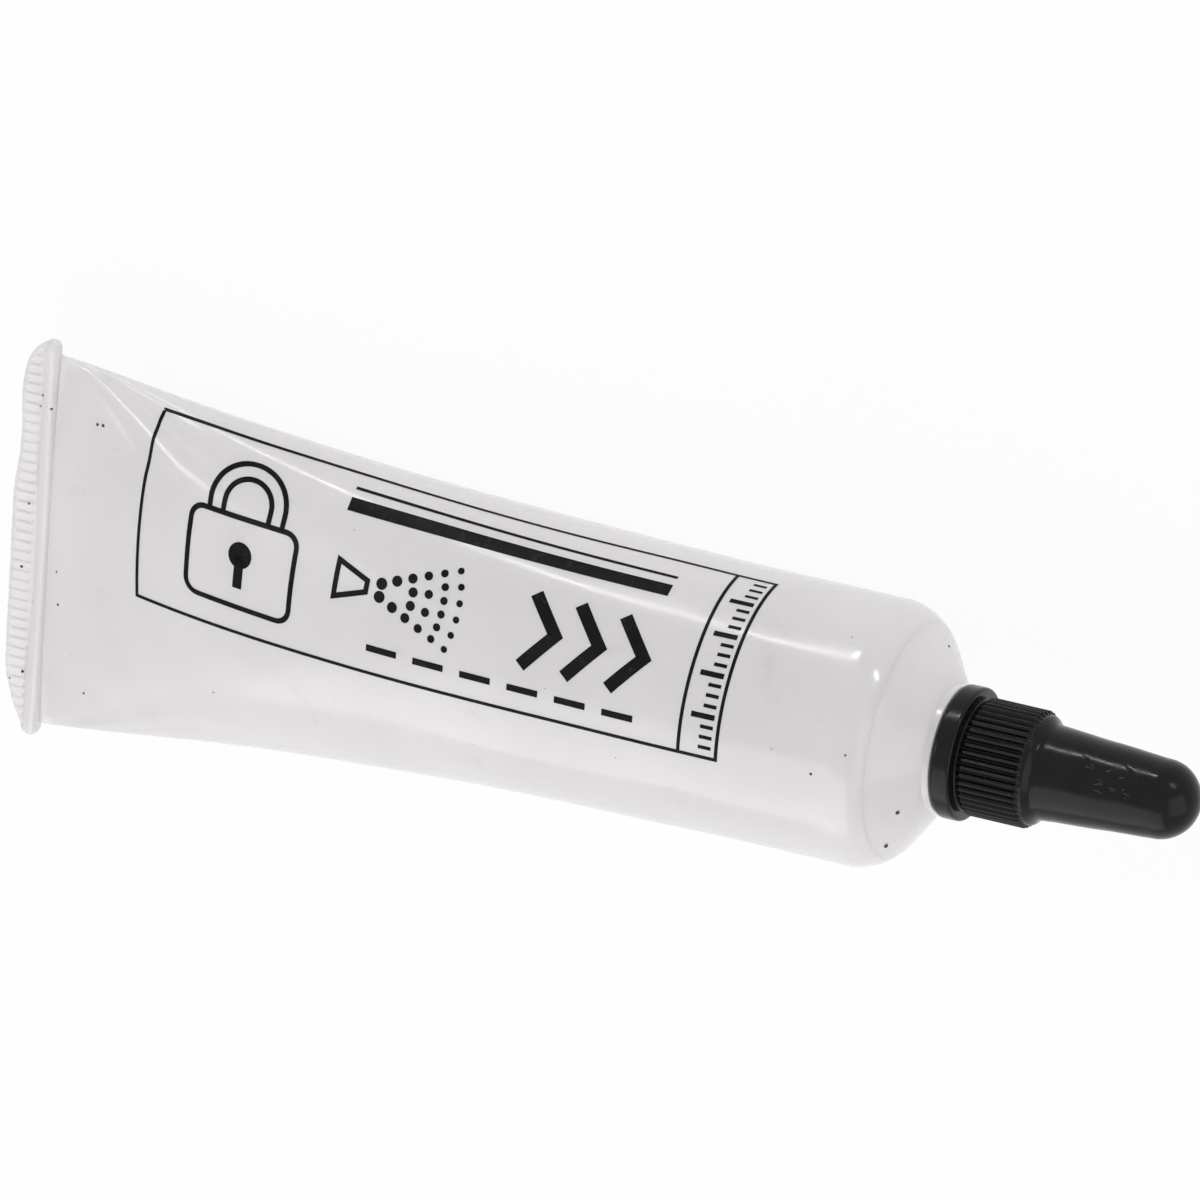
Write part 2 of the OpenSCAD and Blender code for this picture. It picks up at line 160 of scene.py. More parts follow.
# The head
SKIRT_WALL = 0.0006
SKIRT_LENGTH = 0.003
COLLAR_RADIUS = 0.0046
COLLAR_HEIGHT = 0.0005
NECK_RADIUS = 0.00275
NECK_LENGTH = 0.00625
NOZZLE_BASE = 0.00215
NOZZLE_TIP = 0.00105
HOLE_RADIUS = 0.0005
HOLE_LENGTH = 0.0024
NECK_BORE = 0.0016
BORE_SETBACK = 0.0045
THREAD_LEAD = 0.003
THREAD_HEIGHT = 0.00045
THREAD_STARTS = 2
THREAD_GAP = 0.00015
THREAD_ROOT = 0.13 * THREAD_LEAD
THREAD_CREST = 0.045 * THREAD_LEAD
THREAD_SOFTENING = 0.03 * THREAD_LEAD * 0.3
# Sections of the thread's ridge in one turn, and how it runs out at its ends
HELIX_STEPS = 48
RUN_OUT_STEPS = 10
RUN_OUT_LEAST = 0.08

# The cap
BAND_RADIUS = 0.00475
BAND_LENGTH = 0.0014
GROOVE_LENGTH = 0.00035
RIB_RADIUS = 0.00422
RIB_DEPTH = 0.00026
RIB_COUNT = 46
CONE_BASE = 0.00336
CONE_TIP = 0.00285
CONE_WALL = 0.0008
UNEVEN_DEPTH = 0.000012
UNEVEN_LENGTH = 0.0007
SCUFF_WIDTH = 0.00009
CAP_BORE = NECK_RADIUS + THREAD_HEIGHT + THREAD_GAP
DISC_RADIUS = 0.84 * (CONE_TIP - CONE_WALL)
# The radius at which a profile closes on the axis
NEAR_AXIS = 0.00002
# The largest share of a profile's side that the rounding of one of its corners takes
MOST_OF_HALF = 0.48

# The finishes: shades and gains are shares of the material's own colour
CLOUD_SHADE = 0.93
SMUDGE_COLOUR = (0.42, 0.42, 0.43)
SOAK_DEPTHS = (0.0014, 0.0013, 0.0012)
SLEEVE_INDEX = 1.5
PLUG_SHADE = 0.82
HAZE_GAIN = 1.7
DUST_SPACING = 0.0011
DUST_COLOUR = (0.16, 0.155, 0.15)
THIN_INK_LIFT = 0.03
INK_INDEX = 1.28
INK_GLOSS = 0.2
GLINT_GAIN = 2.6
FLECK_SHADE = 0.985
FLOOR_ROUGHNESS = 0.9
FLOOR_GLOSS = 0.1


def lay(points):
    """Points of the tube's own frame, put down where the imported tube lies."""
    points = np.asarray(points, float)
    along, across, up = points[..., 0:1], points[..., 1:2], points[..., 2:3]
    return CRIMP_MIDDLE + along * ALONG + across * ACROSS + up * UPWARD


def span_of(node):
    """The first and last station of a CAD node along the tube's axis."""
    corners = np.array([v.co for v in frame["nodes"][node].data.vertices], float)
    stations = (corners - CRIMP_MIDDLE) @ ALONG
    return float(stations.min()), float(stations.max())


CAP_BASE, CAP_END = span_of("screw_cap")
NOZZLE_END = span_of("nozzle_head")[1]
PLUG_START, PLUG_END = span_of("seal_plug")
CONE_START = BARREL_END + SHOULDER_ROUND * math.sin(SHOULDER_ANGLE)
CONE_START_RADIUS = SHOULDER_CENTRE + SHOULDER_ROUND * math.cos(SHOULDER_ANGLE)
COLLAR_BASE = CONE_START + (CONE_START_RADIUS - COLLAR_RADIUS) / math.tan(SHOULDER_ANGLE)
COLLAR_TOP = COLLAR_BASE + COLLAR_HEIGHT
NECK_TOP = COLLAR_TOP + NECK_LENGTH
NECK_THREAD_START = COLLAR_TOP + 0.42 * THREAD_LEAD
CAP_THREAD_START = CAP_BASE + 0.45 * THREAD_LEAD


def smooth_step(low, high, values):
    """Zero below low, one above high, and an even rise between them."""
    t = np.clip((np.asarray(values, float) - low) / (high - low), 0, 1)
    return t * t * (3 - 2 * t)


# Shape of the sleeve


def half_height(x):
    """Half the height of the flattened sleeve at a station."""
    fill = (1 - np.exp(-FULLNESS * x / FLARE_LENGTH)) / (1 - math.exp(-FULLNESS))
    return CRIMP_HALF_HEIGHT + (FLARE_RADIUS - CRIMP_HALF_HEIGHT) * fill


def half_width(height):
    """Half the width that goes with a half height, at constant girth."""
    share = np.minimum(1, height / FLARE_RADIUS)
    return FLARE_RADIUS * (1 + (QUARTER_TURN - 1) * (1 - share ** GIRTH_POWER))


def sleeve_axes(run):
    """Station, half width and half height of the sleeve's section at a run along its profile."""
    run = np.asarray(run, float)
    flare = np.clip(run, 0, FLARE_LENGTH)
    height = half_height(flare)
    width = half_width(height)
    pinch = PINCH_DEPTH * np.exp(-((flare - BEAD_WIDTH / 2) / PINCH_WIDTH) ** 2)
    height = height - pinch
    round_share = smooth_step(FLARE_LENGTH - BLEND_RUN, FLARE_LENGTH, run)
    height = height + (TUBE_RADIUS - FLARE_RADIUS) * round_share
    width = width + (TUBE_RADIUS - FLARE_RADIUS) * round_share
    turn = np.clip((run - BARREL_END) / SHOULDER_ROUND, 0, QUARTER_TURN)
    drop = SHOULDER_ROUND * (1 - np.cos(turn))
    station = np.minimum(run, BARREL_END) + SHOULDER_ROUND * np.sin(turn)
    return station, width - drop, height - drop


def skew_shift(station, across):
    """How far the sleeve follows the crimp, which is sealed a little out of square."""
    return across * CRIMP_SKEW * np.clip(1 - np.asarray(station) / SKEW_FADE, 0, 1)


def plain_sleeve(run, angle):
    """The sleeve without its dents; the angle turns from the top toward +Y."""
    station, width, height = sleeve_axes(run)
    across = width * np.sin(angle)
    return np.stack([station + skew_shift(station, across), across, height * np.cos(angle)], axis=-1)


def dent_waves(count=26):
    """Slow waves of a soft drawn sleeve, as rows of run frequency, girth count, phase and weight."""
    draws = np.random.default_rng(11)
    lengths = draws.uniform(*DENT_LENGTHS, count)
    turns = draws.integers(0, 6, count)
    phases = draws.uniform(0, 2 * math.pi, count)
    weights = lengths / lengths.max() / math.sqrt(count)
    return np.stack([2 * math.pi / lengths, turns, phases, weights], axis=1)


DENT_WAVES = dent_waves()


def girth_share(run, angle):
    """Length round the sleeve from the top line toward +Y that goes with a section angle."""
    _, width, height = sleeve_axes(run)
    flatness = np.clip(width / height, 1, None)
    quarter = np.asarray(angle) / QUARTER_TURN
    whole = np.round(quarter / 2) * 2
    inner = quarter - whole
    bent = np.sign(inner) * np.abs(inner) ** (1 / (1 + EDGE_CROWDING * (1 - 1 / flatness)))
    return (whole + bent) * GIRTH / 4


# Creases that fan out of a corner of the crimp, as station and length in from the sleeve's side edge,
# each with its height share and its width at the corner
CREASES = (
    ((0.0022, 0.0042, 0.0065, 0.0092, 0.0120, 0.0169, 0.0215, 0.0260),
     (0.0012, 0.0023, 0.0036, 0.0049, 0.0062, 0.0073, 0.0078, 0.0086), 1.0, 0.00040),
    ((0.0022, 0.0050, 0.0080, 0.0110, 0.0150, 0.0190),
     (0.0019, 0.0041, 0.0060, 0.0077, 0.0094, 0.0108), -0.8, 0.00040),
    ((0.0060, 0.0090, 0.0120, 0.0160, 0.0200),
     (0.0021, 0.0032, 0.0041, 0.0056, 0.0066), 0.45, 0.00016),
    ((0.0090, 0.0130, 0.0180, 0.0240, 0.0300, 0.0360),
     (0.0023, 0.0031, 0.0040, 0.0047, 0.0054, 0.0060), 0.35, 0.00018),
    ((0.0050, 0.0080, 0.0120, 0.0160),
     (0.0010, 0.0015, 0.0021, 0.0026), -0.3, 0.00022),
)


def fan_creases(run, angle, looks):
    """Shallow creases that fan out of the crimp's four corners."""
    height = 0
    around = girth_share(run, angle)
    for corner, strength in enumerate(CORNER_STRENGTHS):
        side = 1 if corner in (0, 3) else -1
        face = 0 if corner < 2 else 1
        from_middle = (around - face * GIRTH / 2 + GIRTH / 2) % GIRTH - GIRTH / 2
        inward = GIRTH / 4 - side * (1 - 2 * face) * from_middle
        for stations, places, share, narrow in CREASES:
            aside = inward - np.interp(run, stations, places)
            width = narrow * (1 + run / CREASE_SPREAD)
            fade = smooth_step(stations[0], stations[0] + CREASE_FADE, run)
            fade = fade * (1 - smooth_step(CREASE_HOLD * stations[-1], stations[-1], run))
            ridge = strength * share * fade * np.exp(-(aside / width) ** 2)
            height = height + ridge * (inward > -CREASE_OVERRUN)
    return looks.crease_depth * height


def dents(run, angle, looks):
    """How far the real, handled sleeve stands off its plain shape."""
    waves = 0
    for frequency, turns, phase, weight in DENT_WAVES:
        waves = waves + weight * np.cos(frequency * run + turns * angle + phase)
    calm = smooth_step(CALM_START, CALM_END, run)
    calm = calm * (1 - smooth_step(FLARE_LENGTH - CALM_BLEND, BARREL_END, run))
    around = girth_share(run, angle)
    wrinkles = np.sin(around / WRINKLE_LENGTHS[0]) * np.cos(around / WRINKLE_LENGTHS[1])
    wrinkles = wrinkles * smooth_step(WRINKLE_START, WRINKLE_FULL, run) * np.exp(-run / WRINKLE_FADE)
    weld = np.exp(-((run - BARREL_END - WELD_PLACE) / WELD_WIDTH) ** 2)
    relief = looks.dent_depth * waves * calm + WRINKLE_DEPTH * wrinkles + WELD_DEPTH * weld
    return relief + fan_creases(run, angle, looks)


def sleeve_surface(run, angle, looks, lift=0.0):
    """Points on the outside of the sleeve, lifted off it by a small gap, and pressed flat on the table."""
    step, turn_step = 0.00002, 0.001
    base = plain_sleeve(run, angle)
    forward = plain_sleeve(run + step, angle) - base
    sideways = plain_sleeve(run, angle + turn_step) - base
    normal = np.cross(sideways, forward)
    normal /= np.linalg.norm(normal, axis=-1, keepdims=True)
    outward = np.sign((normal * (base * np.array([0, 1, 1]))).sum(-1, keepdims=True))
    offset = np.asarray(dents(run, angle, looks) + lift)[..., None]
    placed = lay(base + normal * outward * offset)
    placed[..., 2] = np.clip(placed[..., 2], 0.0, CAD_BOX[1][2])
    return placed


# Mesh helpers


def make_object(name, points, faces, body, material, closed=True):
    """A smooth mesh object that rides on a body of the frame; a closed one looks out on all sides."""
    mesh = bpy.data.meshes.new(name)
    mesh.from_pydata(np.asarray(points, float).reshape(-1, 3).tolist(), [], faces)
    mesh.materials.append(material)
    if closed:
        face_outward(mesh)
    mesh.polygons.foreach_set("use_smooth", [True] * len(mesh.polygons))
    mesh.update()
    piece = bpy.data.objects.new(name, mesh)
    bpy.context.scene.collection.objects.link(piece)
    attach(piece, body)
    return piece


def face_outward(mesh):
    """Turns the faces of a closed mesh to look out."""
    shell = bmesh.new()
    shell.from_mesh(mesh)
    bmesh.ops.recalc_face_normals(shell, faces=shell.faces)
    shell.to_mesh(mesh)
    shell.free()


def sheet_faces(rows, columns, start=0, closed=True):
    """Quads between the rows of a grid of points."""
    last = columns if closed else columns - 1
    faces = []
    for i in range(rows - 1):
        for j in range(last):
            k = (j + 1) % columns
            a = start + i * columns
            faces.append((a + j, a + k, a + columns + k, a + columns + j))
    return faces


def end_faces(rows, columns, start=0):
    """One face over the first row and one over the last."""
    first = list(range(start, start + columns))
    last = list(range(start + (rows - 1) * columns, start + rows * columns))
    return [tuple(reversed(first)), tuple(last)]


def tube_faces(rows):
    """All faces of a closed tube of rows of points."""
    return sheet_faces(*rows.shape[:2]) + end_faces(*rows.shape[:2])


def rounded_path(corners, turn_steps=5):
    """A path of station and radius through corners, each given with the radius that rounds it."""
    path = []
    for i, (x, r, fillet) in enumerate(corners):
        here = np.array([x, r])
        if fillet == 0 or i in (0, len(corners) - 1):
            path.append(here)
            continue
        back = np.array(corners[i - 1][:2]) - here
        ahead = np.array(corners[i + 1][:2]) - here
        reach = min(fillet, MOST_OF_HALF * np.linalg.norm(back), MOST_OF_HALF * np.linalg.norm(ahead))
        start = here + reach * back / np.linalg.norm(back)
        end = here + reach * ahead / np.linalg.norm(ahead)
        for t in np.linspace(0, 1, turn_steps):
            path.append((1 - t) ** 2 * start + 2 * t * (1 - t) * here + t * t * end)
    return np.array(path)


def refine_path(path, longest):
    """The same path with no stretch longer than a limit."""
    points = [path[0]]
    for a, b in zip(path[:-1], path[1:]):
        pieces = max(1, math.ceil(np.linalg.norm(b - a) / longest))
        points.extend(a + (b - a) * k / pieces for k in range(1, pieces + 1))
    return np.array(points)


def lathe_points(path, columns, change=None):
    """Rows of points of a path of station and radius turned round the axis; change adds to the radius."""
    angles = np.arange(columns) * 2 * math.pi / columns
    station = np.repeat(path[:, 0:1], columns, axis=1)
    radius = np.repeat(path[:, 1:2], columns, axis=1)
    around = np.repeat(angles[None, :], len(path), axis=0)
    if change is not None:
        radius = radius + change(station, radius, around)
    return np.stack([station, radius * np.sin(around), radius * np.cos(around)], axis=-1)


def helix_points(start, turns, root, crest, first_angle):
    """Rows of points of a thread ridge with a rounded crest that runs out at both ends."""
    steps = int(turns * HELIX_STEPS)
    rows = []
    for j in range(steps + 1):
        turn = j / HELIX_STEPS
        angle = first_angle + turn * 2 * math.pi
        middle = start + THREAD_LEAD * turn
        run_out = min(1, HELIX_STEPS * turn / RUN_OUT_STEPS, (steps - j) / RUN_OUT_STEPS)
        top = root + (crest - root) * max(RUN_OUT_LEAST, run_out)
        shoulder = top - math.copysign(THREAD_SOFTENING, crest - root) * run_out
        section = [
            (-THREAD_ROOT, root), (-THREAD_CREST, shoulder), (-0.4 * THREAD_CREST, top),
            (0.4 * THREAD_CREST, top), (THREAD_CREST, shoulder), (THREAD_ROOT, root),
        ]
        rows.append([(middle + dx, r * math.sin(angle), -r * math.cos(angle)) for dx, r in section])
    return np.array(rows)


def add_shell(points, faces, rows):
    """Adds a closed tube of points to growing lists of points and faces."""
    start = len(points)
    count, columns = rows.shape[0], rows.shape[1]
    points.extend(rows.reshape(-1, 3).tolist())
    faces.extend(sheet_faces(count, columns, start))
    faces.extend(end_faces(count, columns, start))


def add_threads(points, faces, start, turns, root, crest, first_angle=0.0):
    """Adds every start of a thread, evenly set round the axis."""
    for s in range(THREAD_STARTS):
        angle = first_angle + s * 2 * math.pi / THREAD_STARTS
        add_shell(points, faces, helix_points(start, turns, root, crest, angle))


# Materials


def start_material(name):
    """A new node material that holds its output and its shader."""
    material = bpy.data.materials.new(name)
    material.use_nodes = True
    tree = material.node_tree
    tree.nodes.clear()
    output = tree.nodes.new("ShaderNodeOutputMaterial")
    shader = tree.nodes.new("ShaderNodeBsdfPrincipled")
    tree.links.new(shader.outputs["BSDF"], output.inputs["Surface"])
    return material, tree, shader


def place_node(tree):
    """Coordinates of the surface in the part's own frame, in metres."""
    return tree.nodes.new("ShaderNodeTexCoord").outputs["Object"]


def noise_node(tree, place, size, detail=3.0, roughness=0.5, stretch=None):
    """Noise whose lumps are about one size across."""
    if stretch is not None:
        mapping = tree.nodes.new("ShaderNodeMapping")
        mapping.inputs["Scale"].default_value = stretch
        tree.links.new(place, mapping.inputs["Vector"])
        place = mapping.outputs["Vector"]
    noise = tree.nodes.new("ShaderNodeTexNoise")
    noise.inputs["Scale"].default_value = 1 / size
    noise.inputs["Detail"].default_value = detail
    noise.inputs["Roughness"].default_value = roughness
    tree.links.new(place, noise.inputs["Vector"])
    return noise.outputs["Fac"]


def ramp_node(tree, value, stops):
    """A colour ramp through stops of position and grey or colour."""
    ramp = tree.nodes.new("ShaderNodeValToRGB")
    elements = ramp.color_ramp.elements
    while len(elements) < len(stops):
        elements.new(0.5)
    for element, (position, tone) in zip(elements, stops):
        element.position = position
        element.color = (*tone, 1) if hasattr(tone, "__len__") else (tone, tone, tone, 1)
    tree.links.new(value, ramp.inputs["Fac"])
    return ramp.outputs["Color"]


def mix_node(tree, share, first, second, blend="MIX"):
    """Two colours mixed by a share; each is a socket or a plain colour."""
    mix = tree.nodes.new("ShaderNodeMix")
    mix.data_type = "RGBA"
    mix.blend_type = blend
    for socket, value in ((mix.inputs[0], share), (mix.inputs[6], first), (mix.inputs[7], second)):
        if isinstance(value, bpy.types.NodeSocket):
            tree.links.new(value, socket)
        elif hasattr(value, "__len__"):
            socket.default_value = (*value, 1)
        else:
            socket.default_value = value
    return mix.outputs[2]


def bump_node(tree, height, depth, before=None):
    """Surface relief of a depth in metres, on top of an earlier one."""
    bump = tree.nodes.new("ShaderNodeBump")
    bump.inputs["Strength"].default_value = 1
    bump.inputs["Distance"].default_value = depth
    tree.links.new(height, bump.inputs["Height"])
    if before is not None:
        tree.links.new(before, bump.inputs["Normal"])
    return bump.outputs["Normal"]


def uneven_gloss(tree, shader, lumps, low, high):
    """A roughness that changes with a noise, between two places and values of its ramp."""
    tree.links.new(ramp_node(tree, lumps, [low, high]), shader.inputs["Roughness"])


def soft_plastic(name, colour, looks):
    """Satin white polyethylene: faint cloudiness, dusty smudges, fine grain and drawing lines."""
    material, tree, shader = start_material(name)
    place = place_node(tree)
    clouds = noise_node(tree, place, size=0.011, detail=3, roughness=0.55)
    body = ramp_node(tree, clouds, [(0.3, CLOUD_SHADE * np.array(colour)), (0.7, colour)])
    dust = noise_node(tree, place, size=0.0042, detail=6, roughness=0.7)
    smudge = ramp_node(tree, dust, [(0.6, 0.0), (0.82, looks.smudge)])
    tinted = mix_node(tree, smudge, body, SMUDGE_COLOUR)
    tree.links.new(tinted, shader.inputs["Base Color"])
    gloss = noise_node(tree, place, size=0.0035, detail=4, roughness=0.6)
    uneven_gloss(tree, shader, gloss, (0.3, looks.roughness - 0.04), (0.75, looks.roughness + 0.08))
    grain = noise_node(tree, place, size=0.00045, detail=3, roughness=0.55)
    grained = bump_node(tree, grain, depth=0.0000012)
    lines = noise_node(tree, place, size=0.0012, detail=3, roughness=0.6, stretch=(0.04, 1, 1))
    tree.links.new(bump_node(tree, lines, depth=0.0000025, before=grained), shader.inputs["Normal"])
    shader.inputs["Subsurface Weight"].default_value = looks.translucency
    shader.inputs["Subsurface Radius"].default_value = SOAK_DEPTHS
    shader.inputs["Subsurface Scale"].default_value = 1.0
    shader.inputs["IOR"].default_value = SLEEVE_INDEX
    return material


def black_plastic(looks):
    """Semi-gloss black polyethylene with moulding grain and a little dust."""
    material, tree, shader = start_material("cap_black_plastic")
    place = place_node(tree)
    haze = noise_node(tree, place, size=0.0014, detail=5, roughness=0.65)
    body = ramp_node(tree, haze, [(0.35, looks.colour), (0.8, HAZE_GAIN * np.array(looks.colour))])
    grains = tree.nodes.new("ShaderNodeTexVoronoi")
    grains.inputs["Scale"].default_value = 1 / DUST_SPACING
    tree.links.new(place, grains.inputs["Vector"])
    near = ramp_node(tree, grains.outputs["Distance"], [(0.05, 1.0), (0.09, 0.0)])
    few = ramp_node(tree, grains.outputs["Color"], [(0.72, 0.0), (0.76, 1.0)])
    specks = mix_node(tree, 1.0, near, few, "MULTIPLY")
    dusty = mix_node(tree, specks, body, DUST_COLOUR)
    tree.links.new(dusty, shader.inputs["Base Color"])
    gloss = noise_node(tree, place, size=0.0011, detail=5, roughness=0.65)
    uneven_gloss(tree, shader, gloss, (0.32, looks.roughness - 0.04), (0.75, looks.roughness + 0.12))
    coarse = noise_node(tree, place, size=0.0009, detail=4, roughness=0.6)
    coarsened = bump_node(tree, coarse, depth=0.000006)
    fine = noise_node(tree, place, size=0.00018, detail=3, roughness=0.6)
    tree.links.new(bump_node(tree, fine, depth=0.0000012, before=coarsened), shader.inputs["Normal"])
    shader.inputs["IOR"].default_value = looks.gloss_index
    return material


def print_ink(looks):
    """Flat black ink with a slightly uneven film."""
    material, tree, shader = start_material("print_black_ink")
    place = place_node(tree)
    film = noise_node(tree, place, size=0.0007, detail=5, roughness=0.7)
    tint = ramp_node(tree, film, [(0.55, looks.ink), (0.85, THIN_INK_LIFT + np.array(looks.ink))])
    tree.links.new(tint, shader.inputs["Base Color"])
    gloss = noise_node(tree, place, size=0.002, detail=3, roughness=0.5)
    uneven_gloss(tree, shader, gloss, (0.3, 0.3), (0.7, 0.42))
    shader.inputs["IOR"].default_value = INK_INDEX
    shader.inputs["Specular IOR Level"].default_value = INK_GLOSS
    return material


def graphite_material(name, looks):
    """Loose graphite: dark grey grains with a dull shine."""
    material, tree, shader = start_material(name)
    place = place_node(tree)
    grains = noise_node(tree, place, size=0.00025, detail=6, roughness=0.75)
    tone = ramp_node(tree, grains, [(0.35, looks.colour), (0.7, GLINT_GAIN * np.array(looks.colour))])
    tree.links.new(tone, shader.inputs["Base Color"])
    flakes = noise_node(tree, place, size=0.0006, detail=4, roughness=0.6)
    uneven_gloss(tree, shader, flakes, (0.35, 0.5), (0.7, 0.8))
    tree.links.new(bump_node(tree, grains, depth=0.00012), shader.inputs["Normal"])
    return material


def seen_or_mirrored(tree):
    """One for what the camera, a mirror or glass sees, and zero for the light that falls on the object."""
    path = tree.nodes.new("ShaderNodeLightPath")
    total = path.outputs["Is Camera Ray"]
    for kind in ("Is Glossy Ray", "Is Transmission Ray"):
        greater = tree.nodes.new("ShaderNodeMath")
        greater.operation = "MAXIMUM"
        tree.links.new(total, greater.inputs[0])
        tree.links.new(path.outputs[kind], greater.inputs[1])
        total = greater.outputs[0]
    return total


def floor_material(looks):
    """Pale matt floor that is seen as white but keeps part of the object's shadow."""
    material, tree, shader = start_material("pale_floor")
    place = place_node(tree)
    tone = np.array(looks.floor_colour)
    fleck = noise_node(tree, place, size=0.02, detail=3, roughness=0.5)
    paper = ramp_node(tree, fleck, [(0.3, FLECK_SHADE * tone), (0.7, tone)])
    tree.links.new(paper, shader.inputs["Base Color"])
    shader.inputs["Roughness"].default_value = FLOOR_ROUGHNESS
    shader.inputs["Specular IOR Level"].default_value = FLOOR_GLOSS
    glow = tree.nodes.new("ShaderNodeEmission")
    glow.inputs["Color"].default_value = (1, 1, 1, 1)
    glow.inputs["Strength"].default_value = 1
    share = tree.nodes.new("ShaderNodeMath")
    share.operation = "MULTIPLY"
    tree.links.new(seen_or_mirrored(tree), share.inputs[0])
    share.inputs[1].default_value = looks.floor_glow
    mix = tree.nodes.new("ShaderNodeMixShader")
    tree.links.new(share.outputs[0], mix.inputs[0])
    tree.links.new(shader.outputs["BSDF"], mix.inputs[1])
    tree.links.new(glow.outputs["Emission"], mix.inputs[2])
    output = next(n for n in tree.nodes if n.type == "OUTPUT_MATERIAL")
    tree.links.new(mix.outputs["Shader"], output.inputs["Surface"])
    return material


# Settings


class SleeveLooks(bpy.types.PropertyGroup):
    """Looks of the soft sleeve, its crimp and the moulded head."""

    colour: FloatVectorProperty(
        name="Plastic colour", description="Colour of the white plastic",
        subtype="COLOR", size=3, min=0, max=1, default=(0.87, 0.838, 0.846))
    roughness: FloatProperty(
        name="Roughness", description="Roughness of the satin plastic",
        subtype="FACTOR", min=0.1, max=0.8, default=0.15)
    translucency: FloatProperty(
        name="Translucency", description="How far light soaks into the plastic",
        subtype="FACTOR", min=0, max=1, default=0.2)
    smudge: FloatProperty(
        name="Smudges", description="Strength of the grey dust smudges",
        subtype="FACTOR", min=0, max=0.5, default=0.25)
    dent_depth: FloatProperty(
        name="Dent depth", description="Depth of the slow dents in the sleeve",
        unit="LENGTH", min=0, max=0.0002, precision=6, default=0.00004)
    crease_depth: FloatProperty(
        name="Crease depth", description="Depth of the creases that fan out of the crimp's corners",
        unit="LENGTH", min=0, max=0.0003, precision=6, default=0.00011)
    rows: IntProperty(name="Rows", description="Rows of faces along the sleeve", min=60, max=400, default=230)
    columns: IntProperty(name="Columns", description="Faces round the sleeve", min=64, max=400, default=256)


class PrintLooks(bpy.types.PropertyGroup):
    """Looks of the plain printed panel."""

    ink: FloatVectorProperty(
        name="Ink colour", description="Colour of the print",
        subtype="COLOR", size=3, min=0, max=1, default=(0.006, 0.006, 0.0065))
    line_width: FloatProperty(
        name="Line width", description="Width of the frame's thin line",
        unit="LENGTH", min=0.0001, max=0.0006, precision=6, default=0.00026)
    bold_width: FloatProperty(
        name="Bold width", description="Width of the bold strokes",
        unit="LENGTH", min=0.0003, max=0.002, precision=6, default=0.00075)
    film: FloatProperty(
        name="Film", description="How far the ink stands off the sleeve",
        unit="LENGTH", min=0.000005, max=0.00005, precision=6, default=0.000012)


class SpeckLooks(bpy.types.PropertyGroup):
    """Looks of the graphite: the loose bed inside and the grains that stick to the outside."""

    colour: FloatVectorProperty(
        name="Graphite colour", description="Colour of the graphite",
        subtype="COLOR", size=3, min=0, max=1, default=(0.028, 0.028, 0.03))
    grain: FloatProperty(
        name="Grain", description="Size of the largest stuck grain",
        unit="LENGTH", min=0.0001, max=0.0006, precision=6, default=0.00026)
    loose: IntProperty(
        name="Loose grains", description="Number of small grains strewn over the sleeve",
        min=0, max=200, default=46)
    heap_relief: FloatProperty(
        name="Heap relief", description="How deep the powder's surface is pitted",
        unit="LENGTH", min=0, max=0.0004, precision=6, default=0.00015)


class CapLooks(bpy.types.PropertyGroup):
    """Looks of the black screw cap."""

    colour: FloatVectorProperty(
        name="Cap colour", description="Colour of the black plastic",
        subtype="COLOR", size=3, min=0, max=1, default=(0.0045, 0.0045, 0.0047))
    roughness: FloatProperty(
        name="Roughness", description="Roughness of the black plastic",
        subtype="FACTOR", min=0.1, max=0.8, default=0.17)
    gloss_index: FloatProperty(
        name="Gloss index", description="Refractive index that sets the gloss",
        min=1.2, max=1.6, default=1.26)
    scuff_depth: FloatProperty(
        name="Scuff depth", description="Depth of the scuff near the tip",
        unit="LENGTH", min=0, max=0.0002, precision=6, default=0.00011)
    columns: IntProperty(
        name="Faces per rib", description="Faces round the cap for each rib", min=6, max=16, default=12)


class StageLooks(bpy.types.PropertyGroup):
    """Floor, lamps and camera."""

    floor_colour: FloatVectorProperty(
        name="Floor colour", description="Colour of the floor",
        subtype="COLOR", size=3, min=0, max=1, default=(0.96, 0.96, 0.96))
    floor_glow: FloatProperty(
        name="Floor white", description="Share of plain white in the floor that the camera sees",
        subtype="FACTOR", min=0, max=0.95, default=0.94)
    world_light: FloatProperty(
        name="Sky light", description="Strength of the even light", min=0, max=2, default=0.28)
    key_power: FloatProperty(
        name="Key lamp", description="Power of the broad soft lamp", unit="POWER", min=0, max=50, default=4.0)
    fill_power: FloatProperty(
        name="Fill lamp", description="Power of the soft lamp before the nozzle", unit="POWER", min=0, max=50,
        default=2.2)
    strip_power: FloatProperty(
        name="Strip lamp", description="Power of the long strip lamp", unit="POWER", min=0, max=20,
        precision=3, default=0.045)
    cap_strip_power: FloatProperty(
        name="Cap strip lamps", description="Power of each small strip lamp that draws the lines on the cap",
        unit="POWER", min=0, max=20, precision=3, default=0.05)
    crease_power: FloatProperty(
        name="Crease lamp", description="Power of the small lamp that picks out the creases",
        unit="POWER", min=0, max=20, precision=3, default=0.37)
    camera_distance: FloatProperty(
        name="Camera distance", description="Distance from the camera to the object",
        unit="LENGTH", min=0.5, max=5, default=2.6)


class TubeSettings(bpy.types.PropertyGroup):
    """All settings of the puffer tube."""

    sleeve: PointerProperty(type=SleeveLooks, name="Sleeve", description="Looks of the sleeve")
    label: PointerProperty(type=PrintLooks, name="Print", description="Looks of the print")
    graphite: PointerProperty(type=SpeckLooks, name="Graphite", description="Looks of the graphite")
    cap: PointerProperty(type=CapLooks, name="Cap", description="Looks of the cap")
    stage: PointerProperty(type=StageLooks, name="Stage", description="Floor, lamps and camera")


